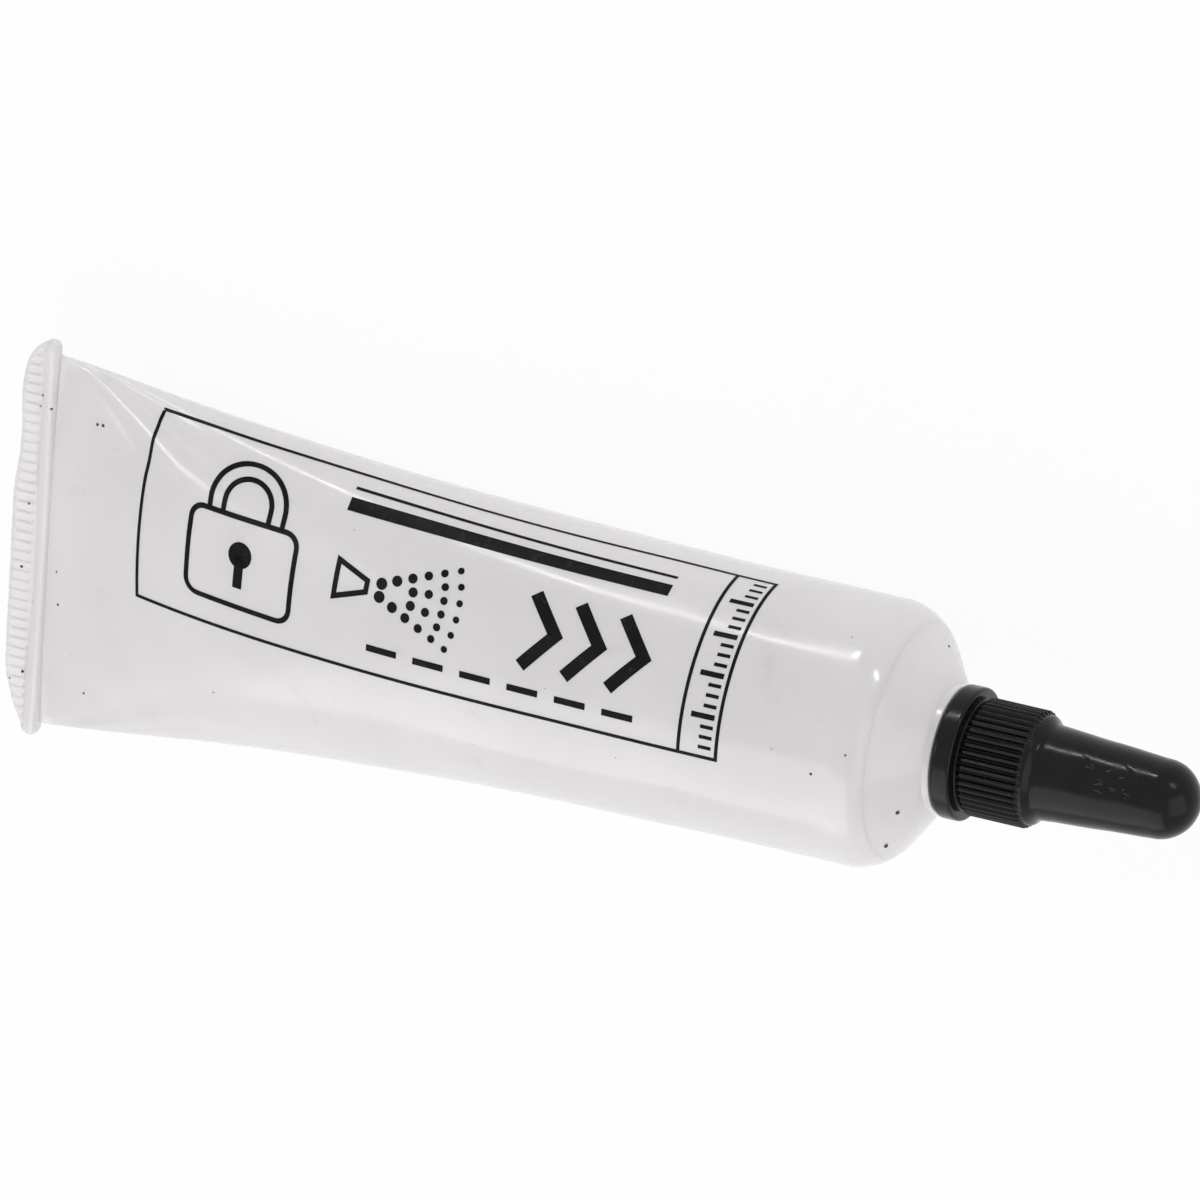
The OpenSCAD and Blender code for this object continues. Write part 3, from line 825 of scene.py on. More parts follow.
def white_plastic():
    """The sleeve's plastic, shared by the sleeve and its crimp."""
    looks = bpy.context.scene.puffer_tube.sleeve
    name = "sleeve_white_plastic"
    return bpy.data.materials.get(name) or soft_plastic(name, looks.colour, looks)


# Pieces


class PUFFER_OT_sleeve(bpy.types.Operator):
    """Build the soft sleeve with its dents, its rounded shoulder and its hollow inside"""

    bl_idname = "puffer.sleeve"
    bl_label = "Sleeve"

    def execute(self, context):
        looks = context.scene.puffer_tube.sleeve
        columns = looks.columns
        angles = np.arange(columns) * 2 * math.pi / columns
        crowd = np.linspace(0, 1, looks.rows)
        crowd = (1 - ROW_CROWDING) * crowd + ROW_CROWDING * crowd ** 2
        runs = FIRST_RUN + (SEAM_RUN - (FIRST_RUN + LAST_GAP)) * crowd
        runs = np.append(runs, SEAM_RUN)
        outside = sleeve_surface(runs[:, None], angles[None, :], looks)
        lip_turns = np.linspace(0, math.pi, 5)[1:]
        lip_middle = lathe_lip(SLEEVE_WALL / 2)
        lip = [lathe_lip_row(lip_middle, turn, angles) for turn in lip_turns]
        inside_runs = np.concatenate([
            np.linspace(SEAM_RUN, BARREL_END, 6),
            np.linspace(BARREL_END, CAVITY_START, 34)[1:],
        ])
        inside = [self.inside_row(run, angles) for run in inside_runs]
        rows = np.concatenate([outside, lay(np.array(lip)), lay(np.array(inside[1:]))])
        piece = make_object("sleeve_skin", rows, tube_faces(rows), "tube", white_plastic())
        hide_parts("tube_sleeve")
        return {"FINISHED"}

    @staticmethod
    def inside_row(run, angles):
        """One row of the cavity, a wall's thickness inside the plain sleeve."""
        station, width, height = sleeve_axes(run)
        turn = max(0.0, (run - BARREL_END) / SHOULDER_ROUND)
        station = station - SLEEVE_WALL * math.sin(turn)
        wall = SLEEVE_WALL * math.cos(turn)
        tall = max(height - wall, CAVITY_HALF_HEIGHT)
        across = (width - wall) * np.sin(angles)
        return np.stack([station + skew_shift(station, across), across, tall * np.cos(angles)], axis=-1)


def lathe_lip(depth):
    """Middle of the sleeve's lip as station and radius, at a depth under the surface."""
    radius = SHOULDER_ROUND - depth
    return BARREL_END + radius * math.sin(SEAM_ANGLE), SHOULDER_CENTRE + radius * math.cos(SEAM_ANGLE)


def lathe_lip_row(middle, turn, angles):
    """One row of the rounded lip, from the outside of the wall to its inside."""
    half = SLEEVE_WALL / 2
    out = half * math.cos(turn)
    ahead = LIP_REACH * math.sin(turn)
    station = middle[0] + out * math.sin(SEAM_ANGLE) + ahead * math.cos(SEAM_ANGLE)
    radius = middle[1] + out * math.cos(SEAM_ANGLE) - ahead * math.sin(SEAM_ANGLE)
    return np.stack([0 * angles + station, radius * np.sin(angles), radius * np.cos(angles)], axis=-1)


class PUFFER_OT_crimp(bpy.types.Operator):
    """Build the heat-sealed bead and the serrated flange of the crimp"""

    bl_idname = "puffer.crimp"
    bl_label = "Crimp"

    # Waves along the crimp that make the bead uneven, as share of its height, length and phase
    bead_waves = ((0.02, 0.0021, 0), (0.015, 0.0007, 1))
    bead_sections = 181
    bead_end_share = 0.45
    bead_foot_share = 0.9
    least_width_share = 0.1
    # Waves of the flange's cut edge, as weight and length
    edge_waves = ((0.6, 0.00055), (0.4, 0.00023), (0.8, 0.0017))
    flange_sections = 900
    # The teeth's steepness, how far and over which length they lean and fade, and how far their strip
    # is pressed in as a share of their depth
    tooth_steepness = 2.2
    lean, lean_length = 0.5, 0.004
    fade, fade_length = 0.25, 0.0017
    pressed_share = 0.4
    # How far the flange's middle sways, and over which length
    sway, sway_length = 0.00004, 0.0026
    edge_squareness = 14

    def execute(self, context):
        for name, rows in (("crimp_bead", self.bead_rows()), ("crimp_flange", self.flange_rows())):
            points = lay(self.skewed(rows))
            piece = make_object(name, points, tube_faces(rows), "tube", white_plastic())
            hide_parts("tube_sleeve")
        return {"FINISHED"}

    @staticmethod
    def skewed(points):
        """The crimp turned a little out of square."""
        turned = points.copy()
        turned[..., 0] += points[..., 1] * CRIMP_SKEW
        return turned

    def bead_rows(self):
        """Sections of the bead along the crimp: flush with the flange, steep toward the sleeve, bowed."""
        rows = []
        reaches = np.concatenate([np.linspace(1, 0, 10), np.linspace(0, -1, 12)[1:]])
        edge = self.bead_foot_share * FLANGE_HALF_THICKNESS
        for y in np.linspace(-CRIMP_HALF, CRIMP_HALF, self.bead_sections):
            from_end = CRIMP_HALF - abs(y)
            end = math.sqrt(max(0.0, 1 - (1 - min(1, from_end / BEAD_END_ROUND)) ** 2))
            uneven = 1
            for share, length, phase in self.bead_waves:
                uneven -= share * (1 + math.sin(y / length + phase))
            tall = BEAD_HEIGHT / 2 * (self.bead_end_share + (1 - self.bead_end_share) * end) * uneven
            middle = BEAD_BOW * (1 - (y / CRIMP_HALF) ** 2)
            wide = np.where(reaches > 0, BEAD_WIDTH / 2, BEAD_SLOPE) * max(self.least_width_share, end)
            slope = edge + (tall - edge) * np.cos(reaches * QUARTER_TURN) ** 2
            steep = tall * np.sqrt(1 - reaches ** 2)
            height = np.where(reaches > 0, steep, slope)
            upper = np.stack([middle + wide * reaches, 0 * reaches + y, height], axis=-1)
            lower = np.stack([middle + wide * reaches, 0 * reaches + y, -height], axis=-1)[::-1]
            rows.append(np.concatenate([upper, lower[:-1]]))
        return np.array(rows)

    def flange_rows(self):
        """Sections of the flange along the crimp: pressed teeth, a wavy cut edge and clipped corners."""
        draws = np.random.default_rng(5)
        phases = draws.uniform(0, 2 * math.pi, 6)
        shares = np.concatenate([np.linspace(0, 0.9, 16), [0.94, 0.97, 0.99, 1.0]])
        reach = CRIMP_HALF - FLANGE_MARGIN
        places = np.linspace(-reach, reach, self.flange_sections)
        edges = np.interp(places, EDGE_PLACES, EDGE_LENGTHS)
        padded = np.pad(edges, 12, mode="reflect", reflect_type="odd")
        edges = np.convolve(padded, np.ones(25) / 25, mode="valid")
        pitch = 2 * CRIMP_HALF / TOOTH_COUNT
        rows = []
        for y, edge in zip(places, edges):
            waves = 0
            for (weight, length), phase in zip(self.edge_waves, phases):
                waves += weight * math.sin(y / length + phase)
            edge = max(FLANGE_LEAST, edge - EDGE_WAVE * (1 + waves / 2))
            x = -(FLANGE_START + shares * (edge - FLANGE_START))
            lean = self.lean * math.sin(y / self.lean_length + phases[3])
            tooth = math.tanh(self.tooth_steepness * math.sin(2 * math.pi * y / pitch + lean))
            strength = 1 - self.fade + self.fade * math.sin(y / self.fade_length + phases[4])
            pressed = smooth_step(TEETH_START, TEETH_FULL, -x)
            edge_round = np.sqrt(np.clip(1 - shares ** self.edge_squareness, 0.0, 1))
            middle = self.sway * math.sin(y / self.sway_length + phases[5])
            relief = TOOTH_DEPTH * (strength * tooth * pressed - self.pressed_share * pressed)
            top = middle + (FLANGE_HALF_THICKNESS + relief) * edge_round
            bottom = middle - (FLANGE_HALF_THICKNESS - TOOTH_DEPTH * strength * tooth * pressed) * edge_round
            upper = np.stack([x, 0 * x + y, top], axis=-1)
            lower = np.stack([x, 0 * x + y, bottom], axis=-1)[::-1]
            rows.append(np.concatenate([upper, lower]))
        return np.array(rows)


def unit_rows(vectors):
    """The same vectors at length one; a zero vector stays zero."""
    lengths = np.linalg.norm(vectors, axis=1, keepdims=True)
    return vectors / np.maximum(lengths, 1e-12)


class LabelSheet:
    """The print, drawn on the flat sheet of the sleeve and wrapped round it.

    A place on the sheet is its station and its length round the sleeve from the top line toward +Y.
    """

    grid = 0.00028

    def __init__(self, looks, sleeve_looks):
        self.looks = looks
        self.sleeve_looks = sleeve_looks
        self.points = []
        self.faces = []

    def stroke(self, path, width, closed=False):
        """A stroke of one width along a path."""
        path = [np.array(p, float) for p in path]
        if closed:
            path = path + [path[0]]
        path = refine_path(np.array(path), self.grid)
        if closed:
            path = path[:-1]
            ahead = np.roll(path, -1, axis=0)
            back = np.roll(path, 1, axis=0)
        else:
            ahead = np.concatenate([path[1:], path[-1:]])
            back = np.concatenate([path[:1], path[:-1]])
        into, out = unit_rows(path - back), unit_rows(ahead - path)
        tangent = unit_rows(into + out)
        side = np.stack([-tangent[:, 1], tangent[:, 0]], axis=1)
        across = np.maximum(0.5, np.abs((tangent * out).sum(1)))
        across = np.where(np.any(out, axis=1), across, 1.0)[:, None]
        columns = max(2, math.ceil(width / self.grid) + 1)
        shares = np.linspace(-0.5, 0.5, columns)
        rows = path[:, None, :] + side[:, None, :] * (width / across)[..., None] * shares[None, :, None]
        start = len(self.points)
        count = len(path)
        self.points.extend(rows.reshape(-1, 2).tolist())
        last = count if closed else count - 1
        for i in range(last):
            a = start + i * columns
            b = start + ((i + 1) % count) * columns
            for j in range(columns - 1):
                self.faces.append((a + j, b + j, b + j + 1, a + j + 1))

    def disc(self, middle, radius):
        """A filled round dot."""
        start = len(self.points)
        rings = max(1, math.ceil(radius / self.grid))
        sides = 20
        self.points.append(list(middle))
        for i in range(1, rings + 1):
            for j in range(sides):
                turn = 2 * math.pi * j / sides
                r = radius * i / rings
                self.points.append([middle[0] + r * math.cos(turn), middle[1] + r * math.sin(turn)])
        for j in range(sides):
            k = (j + 1) % sides
            self.faces.append((start, start + 1 + j, start + 1 + k))
            for i in range(1, rings):
                a = start + 1 + (i - 1) * sides
                self.faces.append((a + j, a + sides + j, a + sides + k, a + k))

    def arc(self, middle, radius, first, last, steps=24):
        """Points of an arc, the angles in degrees."""
        turns = np.radians(np.linspace(first, last, steps))
        return [(middle[0] + radius * math.cos(t), middle[1] + radius * math.sin(t)) for t in turns]

    def wrapped(self):
        """The sheet's points on the sleeve; the print is square to the tube and leaves out the skew."""
        flat = np.array(self.points)
        angles = np.array([angle_at(x, around) for x, around in flat])
        _, width, _ = sleeve_axes(flat[:, 0])
        runs = flat[:, 0] - skew_shift(flat[:, 0], width * np.sin(angles))
        return sleeve_surface(runs, angles, self.sleeve_looks, self.looks.film)


def angle_at(run, around):
    """Section angle of a place given by its length round the sleeve from the top line."""
    _, width, height = sleeve_axes(run)
    turns = np.linspace(-QUARTER_TURN, 2 * QUARTER_TURN, 271)
    y, z = width * np.sin(turns), height * np.cos(turns)
    lengths = np.concatenate([[0], np.cumsum(np.hypot(np.diff(y), np.diff(z)))])
    lengths -= np.interp(0, turns, lengths)
    whole = 4 * np.interp(QUARTER_TURN, turns, lengths)
    return float(np.interp(around * whole / GIRTH, lengths, turns))


class PUFFER_OT_label(bpy.types.Operator):
    """Print the plain framed panel with its padlock, puff of dots, arrows and tick scale"""

    bl_idname = "puffer.label"
    bl_label = "Print"

    # The panel's corners and the middles of its sides, as station and length round the sleeve
    upper_line = ((0.0097, 0.01366), (0.0327, 0.01453), (0.0557, 0.01530))
    lower_line = ((0.0091, -0.00035), (0.0324, 0.00014), (0.0557, 0.00052))
    strip_share = 0.062
    heavy_share = 1.5
    left_bow = -0.0003

    def execute(self, context):
        looks = context.scene.puffer_tube.label
        sheet = LabelSheet(looks, context.scene.puffer_tube.sleeve)
        self.draw_frame(sheet, looks)
        self.draw_scale(sheet, looks)
        self.draw_padlock(sheet, looks)
        self.draw_puff(sheet, looks)
        self.draw_arrows(sheet, looks)
        ink = print_ink(looks)
        piece = make_object("panel_print", sheet.wrapped(), sheet.faces, "tube", ink, closed=False)
        self.turn_out(piece)
        return {"FINISHED"}

    @staticmethod
    def turn_out(piece):
        """Turns the ink film's faces away from the tube's axis."""
        film = bmesh.new()
        film.from_mesh(piece.data)
        film.faces.ensure_lookup_table()
        for face in film.faces:
            middle = np.array(face.calc_center_median()) - CRIMP_MIDDLE
            off_axis = middle - (middle @ ALONG) * ALONG
            if Vector(off_axis).dot(face.normal) < 0:
                face.normal_flip()
        film.to_mesh(piece.data)
        film.free()

    @staticmethod
    def bowed(line, t):
        """A place on a line that bends through three points."""
        first, middle, last = (np.array(p) for p in line)
        bend = 2 * middle - (first + last) / 2
        return (1 - t) ** 2 * first + 2 * t * (1 - t) * bend + t * t * last

    def panel(self, x_share, around_share, bow=0.0):
        """A place in the panel by its shares of the length and of the height."""
        low = self.bowed(self.lower_line, x_share)
        high = self.bowed(self.upper_line, x_share)
        place = low + (high - low) * around_share
        place[0] += bow * 4 * around_share * (1 - around_share)
        return place

    def draw_frame(self, sheet, looks):
        """The border and the line that divides off the end strip."""
        upper = [self.panel(t, 1) for t in np.linspace(0, 1, 30)]
        lower = [self.panel(t, 0) for t in np.linspace(1, 0, 30)]
        right = [self.panel(1, s) for s in np.linspace(1, 0, 16)][1:-1]
        left = [self.panel(0, s, self.left_bow) for s in np.linspace(0, 1, 12)][1:-1]
        sheet.stroke(upper + right + lower + left, looks.line_width, closed=True)
        bar = [self.panel(1 - self.strip_share, s) for s in np.linspace(0, 1, 16)]
        sheet.stroke(bar, looks.line_width)

    def draw_scale(self, sheet, looks):
        """A tick scale in the end strip, each fourth tick long."""
        parts, margin_share, long_share, short_share = 20, 0.14, 0.62, 0.34
        for i in range(1, parts):
            long_tick = i % 4 == 0
            reach = margin_share + (long_share if long_tick else short_share)
            ends = [self.panel(1 - share * self.strip_share, i / parts) for share in (margin_share, reach)]
            sheet.stroke(ends, self.heavy_share * looks.line_width if long_tick else looks.line_width)

    def draw_padlock(self, sheet, looks):
        """A padlock in outline with a solid keyhole."""
        middle = np.array([0.0176, 0.0050])
        half_wide, half_tall, corner = 0.0043, 0.0032, 0.0010
        outline = []
        for sx, sy, first in ((1, 1, 0), (-1, 1, 90), (-1, -1, 180), (1, -1, 270)):
            hub = middle + np.array([sx * (half_wide - corner), sy * (half_tall - corner)])
            outline += sheet.arc(hub, corner, first, first + 90, 7)
        sheet.stroke(outline, self.heavy_share * looks.line_width, closed=True)
        top = middle[1] + half_tall
        leg_length, shackle_radii = 0.0010, (0.0029, 0.0018)
        for reach in shackle_radii:
            bow = sheet.arc((middle[0], top + leg_length), reach, 0, 180, 26)
            legs = [(middle[0] + reach, top)] + bow + [(middle[0] - reach, top)]
            sheet.stroke(legs, self.heavy_share * looks.line_width)
        hole_rise, hole_radius, slot_length = 0.0006, 0.00095, 0.0024
        hole = middle + np.array([0.0, hole_rise])
        sheet.disc(hole, hole_radius)
        sheet.stroke([hole, hole - np.array([0.0, slot_length])], looks.bold_width)

    def draw_puff(self, sheet, looks):
        """A short nozzle and a widening puff of dots."""
        tip = np.array([0.0277, 0.0062])
        length, half_base, half_tip = 0.0024, 0.0013, 0.0004
        corners = ((-length, half_base), (0, half_tip), (0, -half_tip), (-length, -half_base))
        sheet.stroke([tip + corner for corner in corners], self.heavy_share * looks.line_width, closed=True)
        ring_step, spread = 0.0012, math.radians(23)
        largest_dot, dot_shrink = 0.00046, 0.000035
        for i in range(1, 7):
            reach = ring_step * i
            dots = (i + 1) // 2 * 2
            for j in range(dots):
                turn = spread * (2 * j / (dots - 1) - 1)
                place = tip + reach * np.array([math.cos(turn), math.sin(turn)])
                sheet.disc(place, largest_dot - dot_shrink * i)

    def draw_arrows(self, sheet, looks):
        """Three bold chevrons toward the nozzle, two rules above them and a dashed rule below."""
        first_chevron, chevron_step, chevron_reach = 0.0402, 0.0034, 0.0022
        upper, middle, lower = 0.0089, 0.0063, 0.0037
        for i in range(3):
            x = first_chevron + chevron_step * i
            sheet.stroke([(x, upper), (x + chevron_reach, middle), (x, lower)], 1.25 * looks.bold_width)
        rule_ends, thick_rule, thin_rule = (0.0248, 0.0492), (0.01150, 0.01180), (0.01282, 0.01312)
        sheet.stroke(zip(rule_ends, thick_rule), 1.4 * looks.bold_width)
        sheet.stroke(zip(rule_ends, thin_rule), looks.line_width)
        first_dash, dash_step, dash_length = 0.0283, 0.0037, 0.0024
        dash_start, dash_end = 0.00195, 0.00198
        for i in range(6):
            x = first_dash + dash_step * i
            sheet.stroke([(x, dash_start), (x + dash_length, dash_end)], 0.65 * looks.bold_width)


class PUFFER_OT_grains(bpy.types.Operator):
    """Strew the sleeve, crimp and shoulder with small stuck graphite grains"""

    bl_idname = "puffer.grains"
    bl_label = "Stuck grains"

    # Larger grains as station, degrees round the section from the top toward +Y, and size share
    large = (
        (0.0044, 49.5, 1.0), (0.0049, 50.4, 1.1), (0.0016, 353, 0.7), (0.0019, 343, 0.9), (0.0043, 312, 0.8),
        (0.0155, 331, 0.5), (0.0631, 70, 0.5), (0.0652, 18, 0.7), (0.0629, 7, 0.9), (0.0598, 14, 0.4),
        (0.0480, 352, 0.4), (0.0130, 150, 0.6), (0.0350, 215, 0.6),
    )
    # Grains on the shoulder's cone as station, degrees round it and size share
    shouldered = ((0.06791, 337.1, 1.5), (0.06692, 314.4, 1.6), (0.0675, 120, 0.8))
    # Grains on the crimp as station, place across, height and size share
    crimped = (
        (0.00075, 0.01072, 0.00067, 0.9), (-0.00003, 0.0115, 0.00043, 0.7), (-0.0002, 0.0106, 0.00043, 0.5),
        (-0.00101, 0.00266, 0.00042, 0.7), (-0.00152, -0.00246, 0.00040, 1.0),
        (-0.0006, -0.0050, 0.00042, 0.4), (-0.00136, -0.01082, 0.00040, 1.0),
        (-0.00236, -0.0116, 0.00030, 0.8), (-0.0015, 0.0060, -0.00042, 0.7),
    )
    # Where the strewn grains start, how far they stay from the seam, and their size shares
    strewn_start = 0.003
    seam_margin = 0.0003
    strewn_shares = (0.12, 0.34)
    # A grain's lumps as shares of its radius, and how flat it lies
    lump_shares = (0.7, 1.05)
    flat_share = 0.7

    def execute(self, context):
        settings = context.scene.puffer_tube
        looks = settings.graphite
        draws = np.random.default_rng(23)
        points, faces = [], []
        for run, degrees, share in self.large:
            place = sleeve_surface(np.array([run]), np.radians([float(degrees)]), settings.sleeve)[0]
            self.add_grain(points, faces, place, share * looks.grain / 2, draws)
        for station, degrees, share in self.shouldered:
            radius = CONE_START_RADIUS - (station - CONE_START) * math.tan(SHOULDER_ANGLE)
            turn = math.radians(degrees)
            place = lay([station, radius * math.sin(turn), radius * math.cos(turn)])
            self.add_grain(points, faces, place, share * looks.grain / 2, draws)
        for x, y, z, share in self.crimped:
            self.add_grain(points, faces, lay([x, y, z]), share * looks.grain / 2, draws)
        for _ in range(looks.loose):
            run = draws.uniform(self.strewn_start, SEAM_RUN - self.seam_margin)
            angle = draws.uniform(0, 2 * math.pi)
            place = sleeve_surface(np.array([run]), np.array([angle]), settings.sleeve)[0]
            self.add_grain(points, faces, place, draws.uniform(*self.strewn_shares) * looks.grain / 2, draws)
        material = graphite_material("graphite_grains", looks)
        make_object("stuck_grains", points, faces, "tube", material)
        return {"FINISHED"}

    def add_grain(self, points, faces, place, radius, draws):
        """One lumpy grain, half sunk into the surface."""
        if place[2] < 2 * radius:
            return
        rings, sides = 5, 8
        rows = []
        for i in range(rings):
            tilt = math.pi * (i + 0.5) / rings
            lumps = draws.uniform(*self.lump_shares, sides)
            turns = np.arange(sides) * 2 * math.pi / sides
            r = radius * math.sin(tilt) * lumps
            height = radius * self.flat_share * math.cos(tilt) + 0 * turns
            rows.append(np.stack([r * np.cos(turns), r * np.sin(turns), height], axis=-1) + place)
        add_shell(points, faces, np.array(rows))


class PUFFER_OT_head(bpy.types.Operator):
    """Build the moulded head: shoulder, collar, threaded neck and tapered nozzle"""

    bl_idname = "puffer.head"
    bl_label = "Head"

    columns = 192
    longest_row = 0.0005
    thread_turns = 1.375
    weld_gap = 0.00001
    # Degrees past the seam at which the step up to the shoulder's surface starts, ends and runs on
    seam_steps = (0.02, 0.1, 0.8)
    # Radii that round the profile's edges
    collar_foot, collar_edge, neck_root, neck_edge, nozzle_root = 0.00004, 0.00012, 0.00015, 0.0001, 0.00015
    tip_edge, hole_edge, hole_root, bore_edge = 0.00018, 0.00008, 0.0003, 0.0004

    def execute(self, context):
        looks = context.scene.puffer_tube.sleeve
        columns = self.columns
        rows = lathe_points(refine_path(self.profile(), self.longest_row), columns)
        points = rows.reshape(-1, 3).tolist()
        faces = sheet_faces(len(rows), columns)
        last = (len(rows) - 1) * columns
        faces += [(last + j, last + (j + 1) % columns, (j + 1) % columns, j) for j in range(columns)]
        root, crest = NECK_RADIUS - THREAD_HEIGHT / 3, NECK_RADIUS + THREAD_HEIGHT
        add_threads(points, faces, NECK_THREAD_START, self.thread_turns, root, crest)
        material = soft_plastic("head_white_plastic", looks.colour, looks)
        piece = make_object("moulded_head", lay(np.array(points)), faces, "tube", material)
        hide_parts("nozzle_head")
        return {"FINISHED"}

    def profile(self):
        """The head's closed profile as station and radius, from the skirt's end round to its inside."""
        skirt_out = TUBE_RADIUS - SLEEVE_WALL - self.weld_gap
        skirt_in = skirt_out - SKIRT_WALL
        skirt_start = BARREL_END - SKIRT_LENGTH
        path = [np.array([skirt_start, skirt_in]), np.array([skirt_start, skirt_out])]

        def rounding(radius, first, last, steps):
            places = []
            for turn in np.linspace(first, last, steps):
                station = BARREL_END + radius * math.sin(turn)
                places.append(np.array([station, SHOULDER_CENTRE + radius * math.cos(turn)]))
            return places

        lip = SHOULDER_ROUND - SLEEVE_WALL
        step_start, step_end, edge = (SEAM_ANGLE + math.radians(step) for step in self.seam_steps)
        path += rounding(lip - self.weld_gap, 0, SEAM_ANGLE, 7)
        path += rounding(SHOULDER_ROUND, step_start, step_end, 2)
        path += rounding(SHOULDER_ROUND, edge, SHOULDER_ANGLE, 7)
        chamfer = 0.4 * THREAD_HEIGHT
        outer = rounded_path([
            (CONE_START, CONE_START_RADIUS, 0),
            (COLLAR_BASE, COLLAR_RADIUS, self.collar_foot),
            (COLLAR_TOP, COLLAR_RADIUS, self.collar_edge),
            (COLLAR_TOP, NECK_RADIUS, self.neck_root),
            (NECK_TOP - chamfer, NECK_RADIUS, self.neck_edge),
            (NECK_TOP, NECK_RADIUS - chamfer, self.neck_edge),
            (NECK_TOP, NOZZLE_BASE, self.nozzle_root),
            (NOZZLE_END, NOZZLE_TIP, self.tip_edge),
            (NOZZLE_END, HOLE_RADIUS, self.hole_edge),
            (NOZZLE_END - HOLE_LENGTH, HOLE_RADIUS, self.hole_root),
            (NECK_TOP, NECK_BORE, self.bore_edge),
            (BARREL_END + BORE_SETBACK, NECK_BORE, self.bore_edge),
        ])
        path += [np.array(p) for p in outer[1:]]
        path += rounding(lip - SKIRT_WALL, SHOULDER_ANGLE, 0, 6)
        return np.array(path)


class PUFFER_OT_plug(bpy.types.Operator):
    """Build the small disc and stem that seal the nozzle's hole"""

    bl_idname = "puffer.plug"
    bl_label = "Seal plug"

    columns = 96
    longest_row = 0.0003
    # Radii that round the stem's end and foot and the disc's edge
    stem_nose, stem_shoulder, stem_root, disc_edge = 0.0001, 0.0002, 0.00012, 0.0001

    def execute(self, context):
        looks = context.scene.puffer_tube.sleeve
        stem_radius = HOLE_RADIUS - THREAD_GAP / 3
        disc_base = PLUG_END - 0.32 * CONE_TIP
        path = rounded_path([
            (PLUG_START, NEAR_AXIS, 0),
            (PLUG_START, stem_radius / 2, self.stem_nose),
            (PLUG_START + stem_radius, stem_radius, self.stem_shoulder),
            (disc_base, stem_radius, self.stem_root),
            (disc_base, DISC_RADIUS, self.disc_edge),
            (PLUG_END, DISC_RADIUS, self.disc_edge),
            (PLUG_END, NEAR_AXIS, 0),
        ])
        rows = lathe_points(refine_path(path, self.longest_row), self.columns)
        faces = tube_faces(rows)
        material = soft_plastic("plug_plain_plastic", PLUG_SHADE * np.array(looks.colour), looks)
        piece = make_object("sealing_plug", lay(rows), faces, "plug", material)
        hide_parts("seal_plug")
        return {"FINISHED"}


